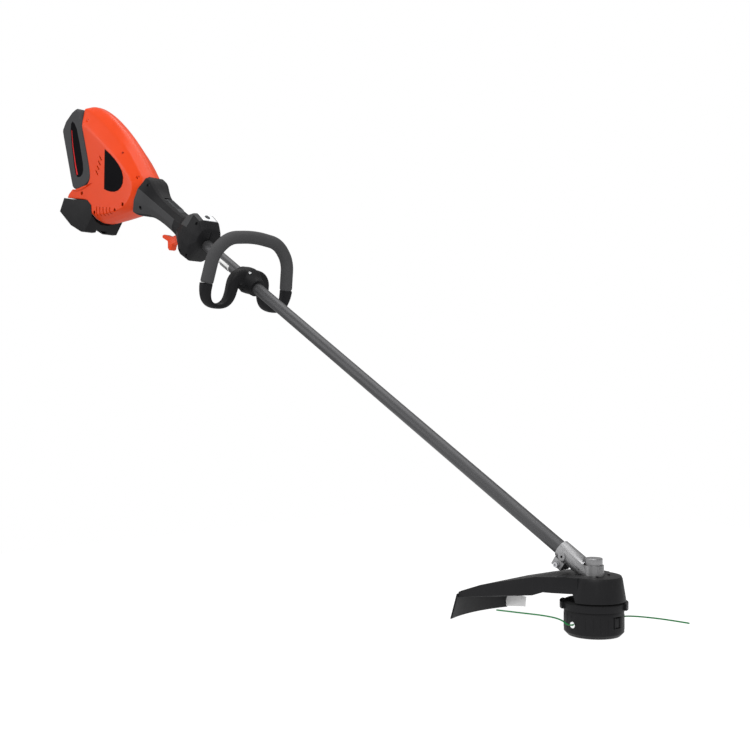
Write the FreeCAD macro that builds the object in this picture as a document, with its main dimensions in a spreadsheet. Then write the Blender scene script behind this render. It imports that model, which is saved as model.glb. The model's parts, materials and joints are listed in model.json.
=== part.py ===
import FreeCAD, Part
import math
import os
import re

import Sketcher

# Battery string trimmer, in millimetres. The origin is on the ground under the middle of the
# cutting head, +Z runs up the head's axis, and the shaft rises towards -X.

V = FreeCAD.Vector

# ---------------------------------------------------------------- driving dimensions
SIZES = {
    # shaft
    "shaft_rise": 32.1,          # degrees between the shaft and the ground
    "gear_apex": 93.3,           # height where the shaft axis meets the head axis
    "tube_outer": 12.0,
    "tube_wall": 1.5,
    "tube_start": 38.5,          # along the shaft from the apex
    "drive_rod": 3.5,
    "rod_run": 0.05,             # running gap round the drive rod
    "bush_length": 25.0,
    "collar_end": 70.7,
    "collar_outer": 15.2,
    "loop_place": 992.0,
    "pod_place": 1155.0,
    "housing_place": 1400.0,
    "slip": 0.05,                # sliding fit between parts of one assembly
    # head
    "case_outer": 47.0,
    "case_wall": 3.0,
    "case_foot": 2.0,
    "case_top": 43.0,
    "ear_outer": 53.5,
    "rim_outer": 49.5,
    "cover_top": 56.0,
    "hub_outer": 7.0,
    "hub_foot": 13.0,
    "knob_outer": 34.0,
    "knob_gap": 0.6,
    "spool_outer": 40.0,
    "spool_core": 18.0,
    "spool_foot": 9.0,
    "spool_top": 38.0,
    "spool_run": 0.4,
    "winding_outer": 33.0,
    "eyelet_height": 22.0,
    "eyelet_outer": 5.0,
    "line_thick": 2.4,
    # gearbox
    "shaft_outer": 5.0,
    "shaft_foot": 44.0,
    "flange_top": 61.0,
    "flange_outer": 22.0,
    "barrel_outer": 16.0,
    "barrel_foot": 64.0,
    "barrel_top": 111.0,
    "big_bearing": 13.0,
    "big_bearing_long": 8.0,
    "small_bearing": 9.5,
    "small_bearing_long": 6.0,
    "pinion_seat": 23.0,
    "pinion_stub": 4.0,
    "cap_outer": 14.0,
    "cap_top": 122.0,
    "mount_flange": 29.0,
    "mount_flange_thick": 4.0,
    # guard
    "guard_wall": 3.0,
    "ring_top": 44.0,
    "ring_foot": 50.0,
    "ring_low": 59.0,
    "guard_top": 95.5,
    "skirt_reach": 247.0,
    "skirt_low": 3.0,
    # loop handle
    "loop_lean": 19.5,
    "loop_half": 109.0,
    "loop_top": 92.0,
    "loop_low": 64.0,
    "loop_deep": 22.0,           # thickness of the casting
    "loop_core": 10.0,
    "grip_outer": 13.6,
    "grip_low": 13.0,
    "clamp_dome": 30.0,
    "clamp_snout": 19.0,
    # powerhead
    "shell_wall": 3.0,
    "body_half": 44.0,
    "shoulder_half": 26.0,
    "spine_half": 10.0,
    "socket_gap": 0.15,
    "stator_outer": 34.0,
    "stator_inner": 22.0,
    "stator_long": 46.0,
    "rotor_gap": 0.5,
    "motor_place": 66.0,
    # battery
    "battery_tilt": 40.0,
    "battery_long": 203.0,
    "battery_thick": 85.0,
    "battery_half": 43.5,
    "battery_gap": 0.8,
    "rail_long": 148.0,
    "rail_gap": 0.4,
}

SIN_RISE = math.sin(math.radians(SIZES["shaft_rise"]))
COS_RISE = math.cos(math.radians(SIZES["shaft_rise"]))

doc = FreeCAD.newDocument("StringTrimmer")
sheet = doc.addObject("Spreadsheet::Sheet", "Sizes")
for row, (alias, value) in enumerate(SIZES.items(), start=1):
    sheet.set(f"A{row}", alias)
    sheet.set(f"B{row}", str(value))
    sheet.setAlias(f"B{row}", alias)
doc.recompute()

NODES = {}                      # node name -> document object


def size(name):
    """Value of one driving dimension."""
    return SIZES[name]


def bound(text):
    """An expression on the sheet, from a formula in the dimensions' names."""
    return re.sub(r"[a-z_]{3,}", lambda m: "Sizes." + m[0] if m[0] in SIZES else m[0], str(text))


def number(text):
    """The value of a formula in the dimensions' names."""
    cell = doc.getObject("Sizes")
    return float(cell.evalExpression(bound(text)))


# ---------------------------------------------------------------- frames
def turn(axis, angle):
    return FreeCAD.Placement(V(0, 0, 0), FreeCAD.Rotation(V(*axis), angle))


def move(x=0.0, y=0.0, z=0.0):
    return FreeCAD.Placement(V(x, y, z), FreeCAD.Rotation())


HEAD = FreeCAD.Placement()
# x along the shaft from the gear apex, z square to it, upwards; y is the right-hand side
SHAFT = move(z=size("gear_apex")) * turn((0, 1, 0), size("shaft_rise")) * turn((0, 0, 1), 180)
LOOP = SHAFT * move(x=size("loop_place")) * turn((0, 1, 0), size("loop_lean"))
POD = SHAFT * move(x=size("pod_place"))
REAR = SHAFT * move(x=size("housing_place"))
# the battery's own frame: x up its length, z towards the housing
BATTERY = REAR * move(x=188.0, z=-48.5) * turn((0, 1, 0), -size("battery_tilt"))


# ---------------------------------------------------------------- building blocks
def keep(name, obj, frame):
    """Name a finished piece and put it in its frame."""
    obj.Label = name
    obj.Placement = frame * obj.Placement
    NODES[name] = obj
    return obj


def block(x, y, z, dx, dy, dz):
    """Box from a corner, each value a formula."""
    box = doc.addObject("Part::Box", "block")
    for prop, text in (("Length", dx), ("Width", dy), ("Height", dz)):
        box.setExpression(prop, bound(text))
    box.Placement = move(number(x), number(y), number(z))
    return box


def rod(radius, start, length, axis="z", at=(0, 0)):
    """Cylinder along one axis from start; at is its place square to that axis."""
    cyl = doc.addObject("Part::Cylinder", "rod")
    cyl.setExpression("Radius", bound(radius))
    cyl.setExpression("Height", bound(length))
    first, second = number(at[0]), number(at[1])
    begin = number(start)
    if axis == "z":
        cyl.Placement = move(first, second, begin)
    elif axis == "x":
        cyl.Placement = move(begin, first, second) * turn((0, 1, 0), 90)
    else:
        cyl.Placement = move(first, begin, second) * turn((1, 0, 0), -90)
    return cyl


def joined(*parts):
    fuse = doc.addObject("Part::MultiFuse", "joined")
    fuse.Shapes = list(parts)
    return fuse


def group(*parts):
    """Separate solids kept as one node."""
    bundle = doc.addObject("Part::Compound", "group")
    bundle.Links = list(parts)
    return bundle


def cut(base, *tools):
    result = doc.addObject("Part::Cut", "cut")
    result.Base = base
    result.Tool = tools[0] if len(tools) == 1 else joined(*tools)
    return result


def common(first, second):
    result = doc.addObject("Part::Common", "common")
    result.Base = first
    result.Tool = second
    return result


def placed(obj, frame):
    obj.Placement = frame * obj.Placement
    return obj


def solid(shape):
    """A piece made by Part's own functions."""
    feature = doc.addObject("Part::Feature", "shape")
    feature.Shape = shape
    return feature


def origin_plane(body, role):
    return next(item for item in body.Origin.OriginFeatures if item.Role == role)


def outline(body, role, points, offset=0.0):
    """Closed sketch through the points; each coordinate is a formula that stays bound."""
    sketch = body.newObject("Sketcher::SketchObject", "outline")
    sketch.AttachmentSupport = [(origin_plane(body, role), "")]
    sketch.MapMode = "FlatFace"
    sketch.AttachmentOffset = move(z=offset)
    corners = [V(number(x), number(y), 0) for x, y in points]
    count = len(corners)
    for i in range(count):
        sketch.addGeometry(Part.LineSegment(corners[i], corners[(i + 1) % count]))
    for i in range(count):
        sketch.addConstraint(Sketcher.Constraint("Coincident", i, 2, (i + 1) % count, 1))
    for i, point in enumerate(points):
        for kind, text in zip(("DistanceX", "DistanceY"), point):
            place = sketch.addConstraint(Sketcher.Constraint(kind, -1, 1, i, 1, number(text)))
            if re.search("[a-z]", str(text)):
                sketch.setExpression(f"Constraints[{place}]", bound(text))
    return sketch


def turned(points):
    """Body of revolution about z from (radius, height) points."""
    body = doc.addObject("PartDesign::Body", "turned")
    sketch = outline(body, "XZ_Plane", points)
    spin = body.newObject("PartDesign::Revolution", "spin")
    spin.Profile = sketch
    spin.ReferenceAxis = (sketch, ["V_Axis"])
    spin.Angle = 360
    return body


def plate(role, points, thickness, offset=0.0, middle=False):
    """Pad of an outline on one of the body's planes."""
    body = doc.addObject("PartDesign::Body", "plate")
    sketch = outline(body, role, points, offset)
    pad = body.newObject("PartDesign::Pad", "pad")
    pad.Profile = sketch
    pad.setExpression("Length", bound(thickness))
    pad.Midplane = middle
    return body


def lofted(role, sections):
    """Ruled loft through outlines at (offset, points)."""
    body = doc.addObject("PartDesign::Body", "lofted")
    sketches = [outline(body, role, points, offset) for offset, points in sections]
    loft = body.newObject("PartDesign::AdditiveLoft", "loft")
    loft.Profile = sketches[0]
    loft.Sections = sketches[1:]
    loft.Ruled = True
    return body


def ring(inner, outer, start, length, axis="z", at=(0, 0)):
    return cut(rod(outer, start, length, axis, at), rod(inner, f"{start} - 1", f"{length} + 2", axis, at))


def inset(points, step):
    """The same outline moved in by step (out when negative), corner by corner."""
    moved = []
    count = len(points)
    for i in range(count):
        here = V(*points[i], 0)
        before = (here - V(*points[i - 1], 0)).normalize()
        after = (V(*points[(i + 1) % count], 0) - here).normalize()
        first, second = V(-before.y, before.x, 0), V(-after.y, after.x, 0)
        spread = first + second
        here = here + spread * (2.0 * step / spread.Length ** 2)
        moved.append((here.x, here.y))
    return moved


def smooth_path(points):
    """Straight runs joined by tangent arcs, each as large as its two runs allow."""
    edges = []
    here = points[0]
    for before, corner, after in zip(points, points[1:], points[2:]):
        first, second = (before - corner), (after - corner)
        reach = 0.45 * min(first.Length, second.Length)
        first.normalize()
        second.normalize()
        bisector = (first + second).normalize()
        half = first.getAngle(second) / 2
        start, end = corner + first * reach, corner + second * reach
        radius = reach * math.tan(half)
        middle = corner + bisector * (reach / math.cos(half) - radius)
        edges.append(Part.LineSegment(here, start).toShape())
        edges.append(Part.Arc(start, middle, end).toShape())
        print(f"  bend radius {radius:.1f}")
        here = end
    edges.append(Part.LineSegment(here, points[-1]).toShape())
    return Part.Wire(edges)


def tube_along(path, radius):
    """Round bar along a path of runs and arcs."""
    start = path.Edges[0]
    direction = start.tangentAt(start.FirstParameter)
    circle = Part.Circle(start.valueAt(start.FirstParameter), direction, radius)
    pipe = path.makePipeShell([Part.Wire(circle.toShape())], True, True)
    print(f"  bar volume {pipe.Volume:.1f}, section x length {math.pi * radius ** 2 * path.Length:.1f}")
    return pipe


def helix(radius, pitch, height, wire, place):
    """Coil spring with its axis on z."""
    path = Part.makeHelix(pitch, height, radius)
    circle = Part.Wire(Part.Circle(V(radius, 0, 0), V(0, 1, 0), wire).toShape())
    coil = path.makePipeShell([circle], True, True)
    coil.Placement = place
    return coil


# ---------------------------------------------------------------- bevel gears
OUTPUT_TEETH = 18
PINION_TEETH = 10
GEAR_REACH = 12.2               # outer cone distance
GEAR_FACE = 4.6
TIP_HALF = 0.11                 # half thickness as a share of the tooth pitch
ROOT_HALF = 0.26


def cone_angles():
    """Pitch cone half angles of the output gear and the pinion."""
    between = math.radians(90 + size("shaft_rise"))
    ratio = OUTPUT_TEETH / PINION_TEETH
    pinion = math.atan2(math.sin(between), ratio + math.cos(between))
    return between - pinion, pinion


def bevel_gear(axis, side, teeth, cone, first_tooth, back):
    """Gear whose cones meet at the apex; side points from the axis to the mesh."""
    apex = V(0, 0, size("gear_apex"))
    across = axis.cross(side)
    module = 2 * GEAR_REACH * math.sin(cone) / teeth
    tip = cone + 0.8 * module / GEAR_REACH
    root = cone - 1.1 * module / GEAR_REACH
    toe, heel = GEAR_REACH - GEAR_FACE, GEAR_REACH
    step = 2 * math.pi / teeth

    def point(reach, angle, spin):
        out = side * math.cos(spin) + across * math.sin(spin)
        return apex + (axis * math.cos(angle) + out * math.sin(angle)) * reach

    def tooth(spin):
        rims = []
        for reach in (toe, heel):
            foot, crest = step * ROOT_HALF, step * TIP_HALF
            rims.append([point(reach, root - 0.02, spin - foot), point(reach, tip, spin - crest),
                         point(reach, tip, spin + crest), point(reach, root - 0.02, spin + foot)])
        walls = [rims[0], rims[1]]
        walls += [[rims[0][k], rims[0][k - 1], rims[1][k - 1], rims[1][k]] for k in range(4)]
        return Part.makeSolid(Part.makeShell([Part.Face(Part.makePolygon(wall + wall[:1])) for wall in walls]))

    profile = [point(toe, root, 0), point(heel, root, 0), point(heel, root, 0) + axis * back,
               apex + axis * ((point(heel, root, 0) - apex).dot(axis) + back),
               apex + axis * (point(toe, root, 0) - apex).dot(axis)]
    face = Part.Face(Part.makePolygon(profile + profile[:1]))
    blank = face.revolve(apex, axis, 360)
    if blank.Volume < 0:
        blank.reverse()
    gear = blank.fuse([tooth((k + first_tooth) * step) for k in range(teeth)])
    print(f"  gear of {teeth} teeth: blank {blank.Volume:.0f}, whole {gear.Volume:.0f}")
    return gear


# ---------------------------------------------------------------- cutting head
EYELET_TURN = -101.0
LATCH_TURN = -7.0


def make_head():
    wall_inner = "case_outer - case_wall"
    drum = turned([("knob_outer + knob_gap", "case_foot"), ("case_outer - 6", "case_foot"),
                   ("case_outer", "case_foot + 6"), ("case_outer", "case_top"),
                   (wall_inner, "case_top"), (wall_inner, "case_foot + 7"),
                   ("case_outer - 7.5", "case_foot + 3"), ("knob_outer + knob_gap", "case_foot + 3")])
    holes = []
    for side in (0, 180):
        hole = rod(3.5, "case_outer - 6", 12, "x", (0, "eyelet_height"))
        holes.append(placed(hole, turn((0, 0, 1), EYELET_TURN + side)))
        window = block("case_outer - 6", -9.5, 18, 12, 19, 18)
        holes.append(placed(window, turn((0, 0, 1), LATCH_TURN + side)))
    keep("head_case", cut(drum, *holes), HEAD)

    rivets = []
    for side in (0, 180):
        barrel = rod("3.5 - slip", "case_outer - 2.6", "3.0", "x", (0, "eyelet_height"))
        flange = rod("eyelet_outer", "case_outer + 0.3", 1.2, "x", (0, "eyelet_height"))
        bore = rod("line_thick / 2 + slip", "case_outer - 6", 12, "x", (0, "eyelet_height"))
        rivets.append(placed(cut(joined(barrel, flange), bore), turn((0, 0, 1), EYELET_TURN + side)))
    keep("line_eyelets", group(*rivets), HEAD)

    disc = turned([("shaft_outer", "cover_top - 8"), ("hub_outer", "cover_top - 8"),
                   ("hub_outer", "cover_top - 4"), ("rim_outer - 6", "cover_top - 4"),
                   ("rim_outer - 6", "case_top"), ("rim_outer", "case_top"),
                   ("rim_outer", "cover_top - 3"), ("rim_outer - 4", "cover_top"),
                   ("shaft_outer", "cover_top")])
    hub = ring("shaft_outer", "hub_outer", "hub_foot", "cover_top - 4 - hub_foot")
    well = rod("hub_outer - 0.8", "hub_foot", "shaft_foot - hub_foot")
    lobes = []
    for side in (0, 180):
        sector = plate("XY_Plane", [(20, 0), (70, -34), (70, 34)], 11, number("case_top + 1"))
        slice_ = common(ring("rim_outer - 4", "ear_outer", "case_top + 1", 10.5), sector)
        lobes.append(placed(slice_, turn((0, 0, 1), 32 + side)))
        tab = joined(block("case_outer - case_wall - 3", -8, 19, 2, 16, "cover_top - 22"),
                     block("case_outer - case_wall - 1.2", -8, 19.5, 3.2, 16, 14))
        lobes.append(placed(tab, turn((0, 0, 1), LATCH_TURN + side)))
    keep("head_cover", cut(joined(disc, hub, *lobes), well), HEAD)

    nut = plate("XY_Plane", [(f"{r:.4f}", f"{s:.4f}") for r, s in hexagon(5.2)], 5, number("shaft_foot - 7"))
    keep("arbor_nut", cut(nut, rod("shaft_outer - 1", "shaft_foot - 8", 8)), HEAD)

    slide = "hub_outer + spool_run"
    keep("line_spool", turned([
        (slide, "spool_foot"), ("spool_outer", "spool_foot"), ("spool_outer", "spool_foot + 2.2"),
        ("spool_core", "spool_foot + 2.2"), ("spool_core", "eyelet_height - 0.9"),
        ("spool_outer - 1", "eyelet_height - 0.9"), ("spool_outer - 1", "eyelet_height + 0.9"),
        ("spool_core", "eyelet_height + 0.9"), ("spool_core", "spool_top - 2.2"),
        ("spool_outer", "spool_top - 2.2"), ("spool_outer", "spool_top"), (slide, "spool_top")]), HEAD)
    keep("line_winding", group(
        ring("spool_core", "winding_outer", "spool_foot + 2.2", "eyelet_height - spool_foot - 3.1"),
        ring("spool_core", "winding_outer", "eyelet_height + 0.9", "spool_top - eyelet_height - 3.1")), HEAD)
    keep("bump_knob", turned([
        (0, 0), ("knob_outer - 10", 0), ("knob_outer - 3", 1.5), ("knob_outer", 4.5),
        ("knob_outer", "spool_foot - 0.9"), ("spool_core", "spool_foot - 0.9"),
        ("spool_core", "spool_foot"), ("hub_outer + spool_run", "spool_foot"),
        ("hub_outer + spool_run", 5), (0, 5)]), HEAD)
    spring_high = number("cover_top - 4 - spool_top") - 2.6
    keep("spool_spring", solid(helix(12.0, spring_high / 3, spring_high, 0.9,
                                     move(z=size("spool_top") + 1.3))), HEAD)


def hexagon(half):
    """Corners of a hexagon with the given half width across its flats."""
    reach = half / math.cos(math.radians(30))
    return [(reach * math.cos(math.radians(60 * k)), reach * math.sin(math.radians(60 * k))) for k in range(6)]


# The free line ends, each from its eyelet to the tip.
LINE_ROUTES = {
    "line_end_front": [(-8.8, -45.2, 22.0), (-11.1, -57.0, 22.0), (-18.0, -64.0, 32.0), (-45.0, -68.3, 34.8),
                       (-94.5, -70.0, 33.0), (-142.8, -64.0, 29.9)],
    "line_end_rear": [(8.8, 45.2, 22.0), (11.1, 57.0, 22.0), (22.0, 62.0, 24.4), (46.0, 65.0, 26.2),
                      (91.0, 65.0, 27.9), (134.1, 56.0, 29.4)]}


def make_line_ends():
    for name, route in LINE_ROUTES.items():
        print(name)
        path = smooth_path([V(*point) for point in route])
        print(f"  length {path.Length:.1f}")
        keep(name, solid(tube_along(path, size("line_thick") / 2)), HEAD)


# ---------------------------------------------------------------- gearbox
def make_gearbox():
    output_cone, pinion_cone = cone_angles()
    up_shaft = V(-COS_RISE, 0, SIN_RISE)
    square = V(SIN_RISE, 0, COS_RISE)
    gear = bevel_gear(V(0, 0, -1), V(-1, 0, 0), OUTPUT_TEETH, output_cone, 0.5, 5.0)
    gear = gear.cut(Part.makeCylinder(size("shaft_outer"), 30, V(0, 0, size("gear_apex") - 20)))
    keep("output_gear", solid(gear), HEAD)
    pinion = bevel_gear(up_shaft, square * -1, PINION_TEETH, pinion_cone, 0.0, 1.5)
    stub_long = size("tube_start") - 14.5
    stub = Part.makeCylinder(size("pinion_stub") - size("slip"), stub_long + 4,
                             V(0, 0, size("gear_apex")) + up_shaft * 11, up_shaft)
    socket = Part.makeCylinder(2.6, 8, V(0, 0, size("gear_apex")) + up_shaft * (stub_long + 7.2), up_shaft)
    keep("pinion_gear", solid(pinion.fuse(stub).cut(socket)), HEAD)

    keep("output_shaft", turned([
        (0, "shaft_foot - 7"), ("shaft_outer - 1", "shaft_foot - 7"), ("shaft_outer - 1", "shaft_foot"),
        ("shaft_outer", "shaft_foot"), ("shaft_outer", "barrel_foot"),
        ("shaft_outer - slip", "barrel_foot"), ("shaft_outer - slip", "barrel_foot + 21"),
        ("shaft_outer", "barrel_foot + 21"), ("shaft_outer", "gear_apex - 2.6"),
        (0, "gear_apex - 2.6")]), HEAD)
    keep("drive_flange", turned([
        ("shaft_outer", "cover_top"), ("flange_outer", "cover_top"), ("flange_outer", "cover_top + 2.5"),
        ("shaft_outer + 4", "flange_top"), ("shaft_outer + 4", "barrel_foot - 0.5"),
        ("shaft_outer", "barrel_foot - 0.5")]), HEAD)
    keep("output_bearings", group(
        ring("shaft_outer", "big_bearing", "barrel_foot + 1", "big_bearing_long"),
        ring("shaft_outer", "big_bearing", "barrel_foot + 11.5", "big_bearing_long")), HEAD)

    barrel = rod("barrel_outer", "barrel_foot", "barrel_top - barrel_foot")
    flange = rod("mount_flange", "guard_top - guard_wall - mount_flange_thick", "mount_flange_thick")
    collar = rod("collar_outer", 0, "collar_end", "x")
    boss = rod(6.5, "collar_outer - 6", 8, "y", (56, -3))
    lug = joined(block("collar_end - 22", -12, "-collar_outer - 11", 20, 24, 14),
                 rod(5.5, -13, 26, "y", ("collar_end - 12", "-collar_outer - 6")))
    inclined = cut(placed(joined(collar, boss, lug), SHAFT), rod("barrel_outer + 1", "barrel_top", 40))
    room = [rod("big_bearing", "barrel_foot - 1", 22),
            rod("big_bearing + 0.3", "barrel_foot + 20.9", "barrel_top - barrel_foot - 19")]
    bores = [rod("small_bearing + slip", 0, "tube_start", "x"),
             rod("tube_outer + slip", "tube_start - 0.01", "collar_end - tube_start + 5", "x"),
             block("tube_start + 4", -1, -40, "collar_end - tube_start", 2, 35),
             rod(2.6, -20, 40, "y", ("collar_end - 12", "-collar_outer - 6")),
             rod(2.1, 10, 20, "y", (56, -3))]
    bored = placed(joined(*bores), SHAFT)
    screws = [rod(2.1, "guard_top - 12", 20, at=spot) for spot in flange_holes()]
    ball = doc.addObject("Part::Sphere", "room")
    ball.Radius = size("big_bearing") + 0.3
    ball.Placement = move(z=size("gear_apex"))
    case = cut(joined(barrel, flange, inclined), bored, ball, *room, *screws)
    keep("gearbox_case", case, HEAD)
    keep("gearbox_cap", turned([
        (0, "barrel_top - 3"), ("big_bearing + 0.2", "barrel_top - 3"), ("big_bearing + 0.2", "barrel_top"),
        ("cap_outer - 1", "barrel_top"), ("cap_outer - 1", "barrel_top + 1.5"),
        ("cap_outer", "barrel_top + 1.5"), ("cap_outer", "cap_top - 1"), ("cap_outer - 1", "cap_top"),
        (0, "cap_top")]), HEAD)
    keep("pinion_bearings", group(
        ring("pinion_stub", "small_bearing", "pinion_seat", "small_bearing_long", "x"),
        ring("pinion_stub", "small_bearing", "pinion_seat + 8", "small_bearing_long", "x")), SHAFT)
    lug_place = ("collar_end - 12", "-collar_outer - 6")
    clamp_bolt = joined(rod(2.5, -13, 30, "y", lug_place), rod(4.2, 13, 4.5, "y", lug_place))
    place = (56, -3)
    place_bolt = joined(rod(2.0, "tube_outer + 0.3", 6, "y", place),
                        rod(3.6, "collar_outer + 2", 3.5, "y", place))
    sockets = [rod(1.6, 15, 5, "y", lug_place), rod(1.4, "collar_outer + 3.5", 4, "y", place)]
    keep("collar_bolts", cut(group(clamp_bolt, place_bolt), *sockets), SHAFT)


def flange_holes():
    """Places of the four guard screws round the gearbox flange."""
    reach = size("mount_flange") - 5
    angles = [math.radians(corner) for corner in (45, 135, 225, 315)]
    return [(reach * math.cos(angle), reach * math.sin(angle)) for angle in angles]


# ---------------------------------------------------------------- guard
GUARD_REAR = 240.5              # radius of the guard's rear wall about the head's axis
SKIRT_NEAR, SKIRT_FAR = -16.0, 20.0
GUARD_SIDE = [(52, 57), (52, "guard_top - 1"), (-21, "guard_top"), (-71, "guard_top - 4.5"),
              (-136, "guard_top - 19"), (-177, "guard_top - 29"), (-223, "guard_top - 43"),
              (-242, "guard_top - 50"), (-242, 39), (-118, 56), (-77, 61), (-58, 68), (-8, 70), (-2, 57)]
GUARD_ROOF = [(60, 20), (60, "guard_top - guard_wall"), (-21, "guard_top - guard_wall"),
              (-71, "guard_top - guard_wall - 4.5"), (-136, "guard_top - guard_wall - 19"),
              (-177, "guard_top - guard_wall - 29"), (-223, "guard_top - guard_wall - 43"),
              (-250, "guard_top - guard_wall - 52"), (-250, 20)]


def on_arc(reach, angle):
    """Point behind the head at an angle from -X."""
    return (-reach * math.cos(math.radians(angle)), reach * math.sin(math.radians(angle)))


def guard_plan(grow):
    """Fan of the guard seen from above, moved in by grow."""
    rear = [on_arc(GUARD_REAR, angle) for angle in (19, 10, 1, -8, -15.5)]
    return inset([(0, 47), (-40, 54), (-120, 66)] + rear + [(-120, -62), (-40, -56), (0, -47)], grow)


def guard_form(grow, profile):
    cone = turned([(0, 50), (f"ring_foot - {grow} + 0.6", 50), (f"ring_foot - {grow}", "ring_low"),
                   (f"ring_top - {grow} + 1", "guard_top - 5"), (f"ring_top - {grow} - 3", 100), (0, 100)])
    fan = plate("XY_Plane", guard_plan(grow), 110)
    return common(joined(fan, cone), plate("XZ_Plane", profile, 240, middle=True))


def make_guard():
    wall = size("guard_wall")
    neck = rod("barrel_outer + 0.4", 80, 30)
    collar_way = placed(rod("collar_outer + 0.6", 0, 90, "x"), SHAFT)
    lug_way = placed(block("collar_end - 24", -14, "-collar_outer - 13", 40, 28, 16), SHAFT)
    screws = [rod(2.1, "guard_top - 12", 20, at=spot) for spot in flange_holes()]
    flange_room = rod("mount_flange + 0.3", 50, "guard_top - guard_wall - 50")
    keep("guard_shell", cut(guard_form(0.0, GUARD_SIDE), guard_form(wall, GUARD_ROOF), neck, collar_way,
                            lug_way, flange_room, *screws), HEAD)
    seat = "guard_top - guard_wall - mount_flange_thick"
    heads = [rod(3.6, f"{seat} - 3", 3, at=spot) for spot in flange_holes()]
    shanks = [rod(2.0, seat, 7, at=spot) for spot in flange_holes()]
    keep("guard_screws", group(*[joined(head, shank) for head, shank in zip(heads, shanks)]), HEAD)

    flare = turned([("skirt_reach - 5 - guard_wall + 2", 46), ("skirt_reach - 5 - guard_wall + 2", 40),
                    ("skirt_reach - guard_wall", "skirt_low"), ("skirt_reach", "skirt_low"),
                    ("skirt_reach - 3", 46)])
    wedge = [(0, 0)] + [on_arc(400, angle) for angle in (SKIRT_FAR, 8.0, -4.0, SKIRT_NEAR)]
    keep("guard_skirt", common(flare, plate("XY_Plane", wedge, 60)), HEAD)

    edge_x, edge_y = on_arc(size("skirt_reach") - 4.5, SKIRT_FAR - 0.6)
    blade = [(edge_x + 1, 6), (edge_x + 42, 10), (edge_x + 44, 27), (edge_x + 1, 31)]
    knife = plate("XZ_Plane", blade, 1.6, offset=-edge_y + 1.8)
    keep("line_knife", knife, HEAD)


# ---------------------------------------------------------------- shaft
BUSH_PLACES = [(f"tube_start + {step}") for step in (90, 340, 590, 840, 1090, 1310)]


def make_shaft():
    tube_long = "housing_place + 12 - tube_start"
    keep("shaft_tube", ring("tube_outer - tube_wall", "tube_outer", "tube_start", tube_long, "x"), SHAFT)
    keep("shaft_bushes", group(*[
        ring("drive_rod + rod_run", "tube_outer - tube_wall", place, "bush_length", "x")
        for place in BUSH_PLACES]), SHAFT)
    keep("drive_shaft", joined(
        rod("drive_rod", "tube_start + 1", "housing_place + 37 - tube_start", "x"),
        rod(2.6 - 0.05, "tube_start - 6.5", 8, "x")), SHAFT)
    near_side = block("loop_place + 60", 2, -13, 38, 12, 16)
    wrap = ring("tube_outer + 0.05", "tube_outer + 0.35", "loop_place + 60", 38, "x")
    keep("tube_label", common(wrap, near_side), SHAFT)


# ---------------------------------------------------------------- front loop handle
LOOP_SHARE = [(0.0, 0.0), (0.62, -7.0), (0.93, -42.0), (1.0, -109.0)]   # of half width, below the top
LEG = [(0, -16), (27, -16), (29, -54), (48, "-loop_low"), (98, "-loop_low"), (114, -52), (122.5, -30),
       (122.5, "-grip_low"), (97.5, "-grip_low"), (97.5, -36), (86, -53), (66, -53), (55, -40), (55, 14),
       (44, 22), (0, 24)]
BOLT_PLACES = [(x, y) for x in (-12, 10) for y in (-16, 16)]


def loop_bar(radius):
    """Bent bar of the loop, from one side of the casting over the top to the other."""
    half, top = size("loop_half"), size("loop_top")
    right = [V(0, half * share, top + drop) for share, drop in LOOP_SHARE]
    left = [V(0, -point.y, point.z) for point in right[:0:-1]]
    return tube_along(smooth_path(left + [V(0, 0, top + 1)] + right[1:]), radius)


def clamp_body(reach, rim):
    """Round body of the clamp, turned about the tube, in the loop's frame."""
    body = turned([(0, -34), ("clamp_snout", -34), ("clamp_snout + 2", -22), (f"{reach} - 3", -14),
                   (reach, -4), (f"{reach} - 1", 8), (f"clamp_snout + {rim}", 18), ("clamp_snout", 30),
                   (0, 30)])
    return placed(body, turn((0, 1, 0), 90 - size("loop_lean")))


def clamp_holes(level):
    return [placed(rod(2.6, -40, 80, at=spot), level) for spot in BOLT_PLACES]


def make_loop():
    level = turn((0, 1, 0), -size("loop_lean"))
    core = loop_bar(size("loop_core"))
    ends = block(-30, -150, "-grip_low - 30", 60, 300, 30)
    keep("loop_grip", cut(solid(loop_bar(size("grip_outer")).cut(core)), ends), LOOP)
    legs = [plate("YZ_Plane", LEG, "loop_deep", middle=True)]
    legs.append(plate("YZ_Plane", [(f"-({y})", z) for y, z in LEG[::-1]], "loop_deep", middle=True))
    stubs = [rod("loop_core", "-grip_low - 8", 8, at=(0, side * size("loop_half"))) for side in (-1, 1)]
    hub = joined(clamp_body("clamp_dome", 6), solid(core), *legs, *stubs)
    bore = placed(rod("tube_outer + slip", -80, 160, "x"), level)
    below = placed(block(-70, -22, -80, 140, 44, 79), level)
    keep("loop_frame", cut(hub, bore, below, *clamp_holes(level)), LOOP)
    lower = common(clamp_body("clamp_snout + 8", 6), placed(block(-70, -21.7, -80, 140, 43.4, 78.6), level))
    lower_bore = placed(rod("tube_outer + slip", -80, 160, "x"), level)
    head_seats = [placed(rod(4.5, -40, 23.5, at=spot), level) for spot in BOLT_PLACES]
    keep("clamp_cap", cut(lower, lower_bore, *clamp_holes(level), *head_seats), LOOP)
    bolts = [joined(rod(2.5, -18, 30, at=spot), rod(4.2, -20.5, 4, at=spot)) for spot in BOLT_PLACES]
    keep("clamp_bolts", group(*[placed(bolt, level) for bolt in bolts]), LOOP)


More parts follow.
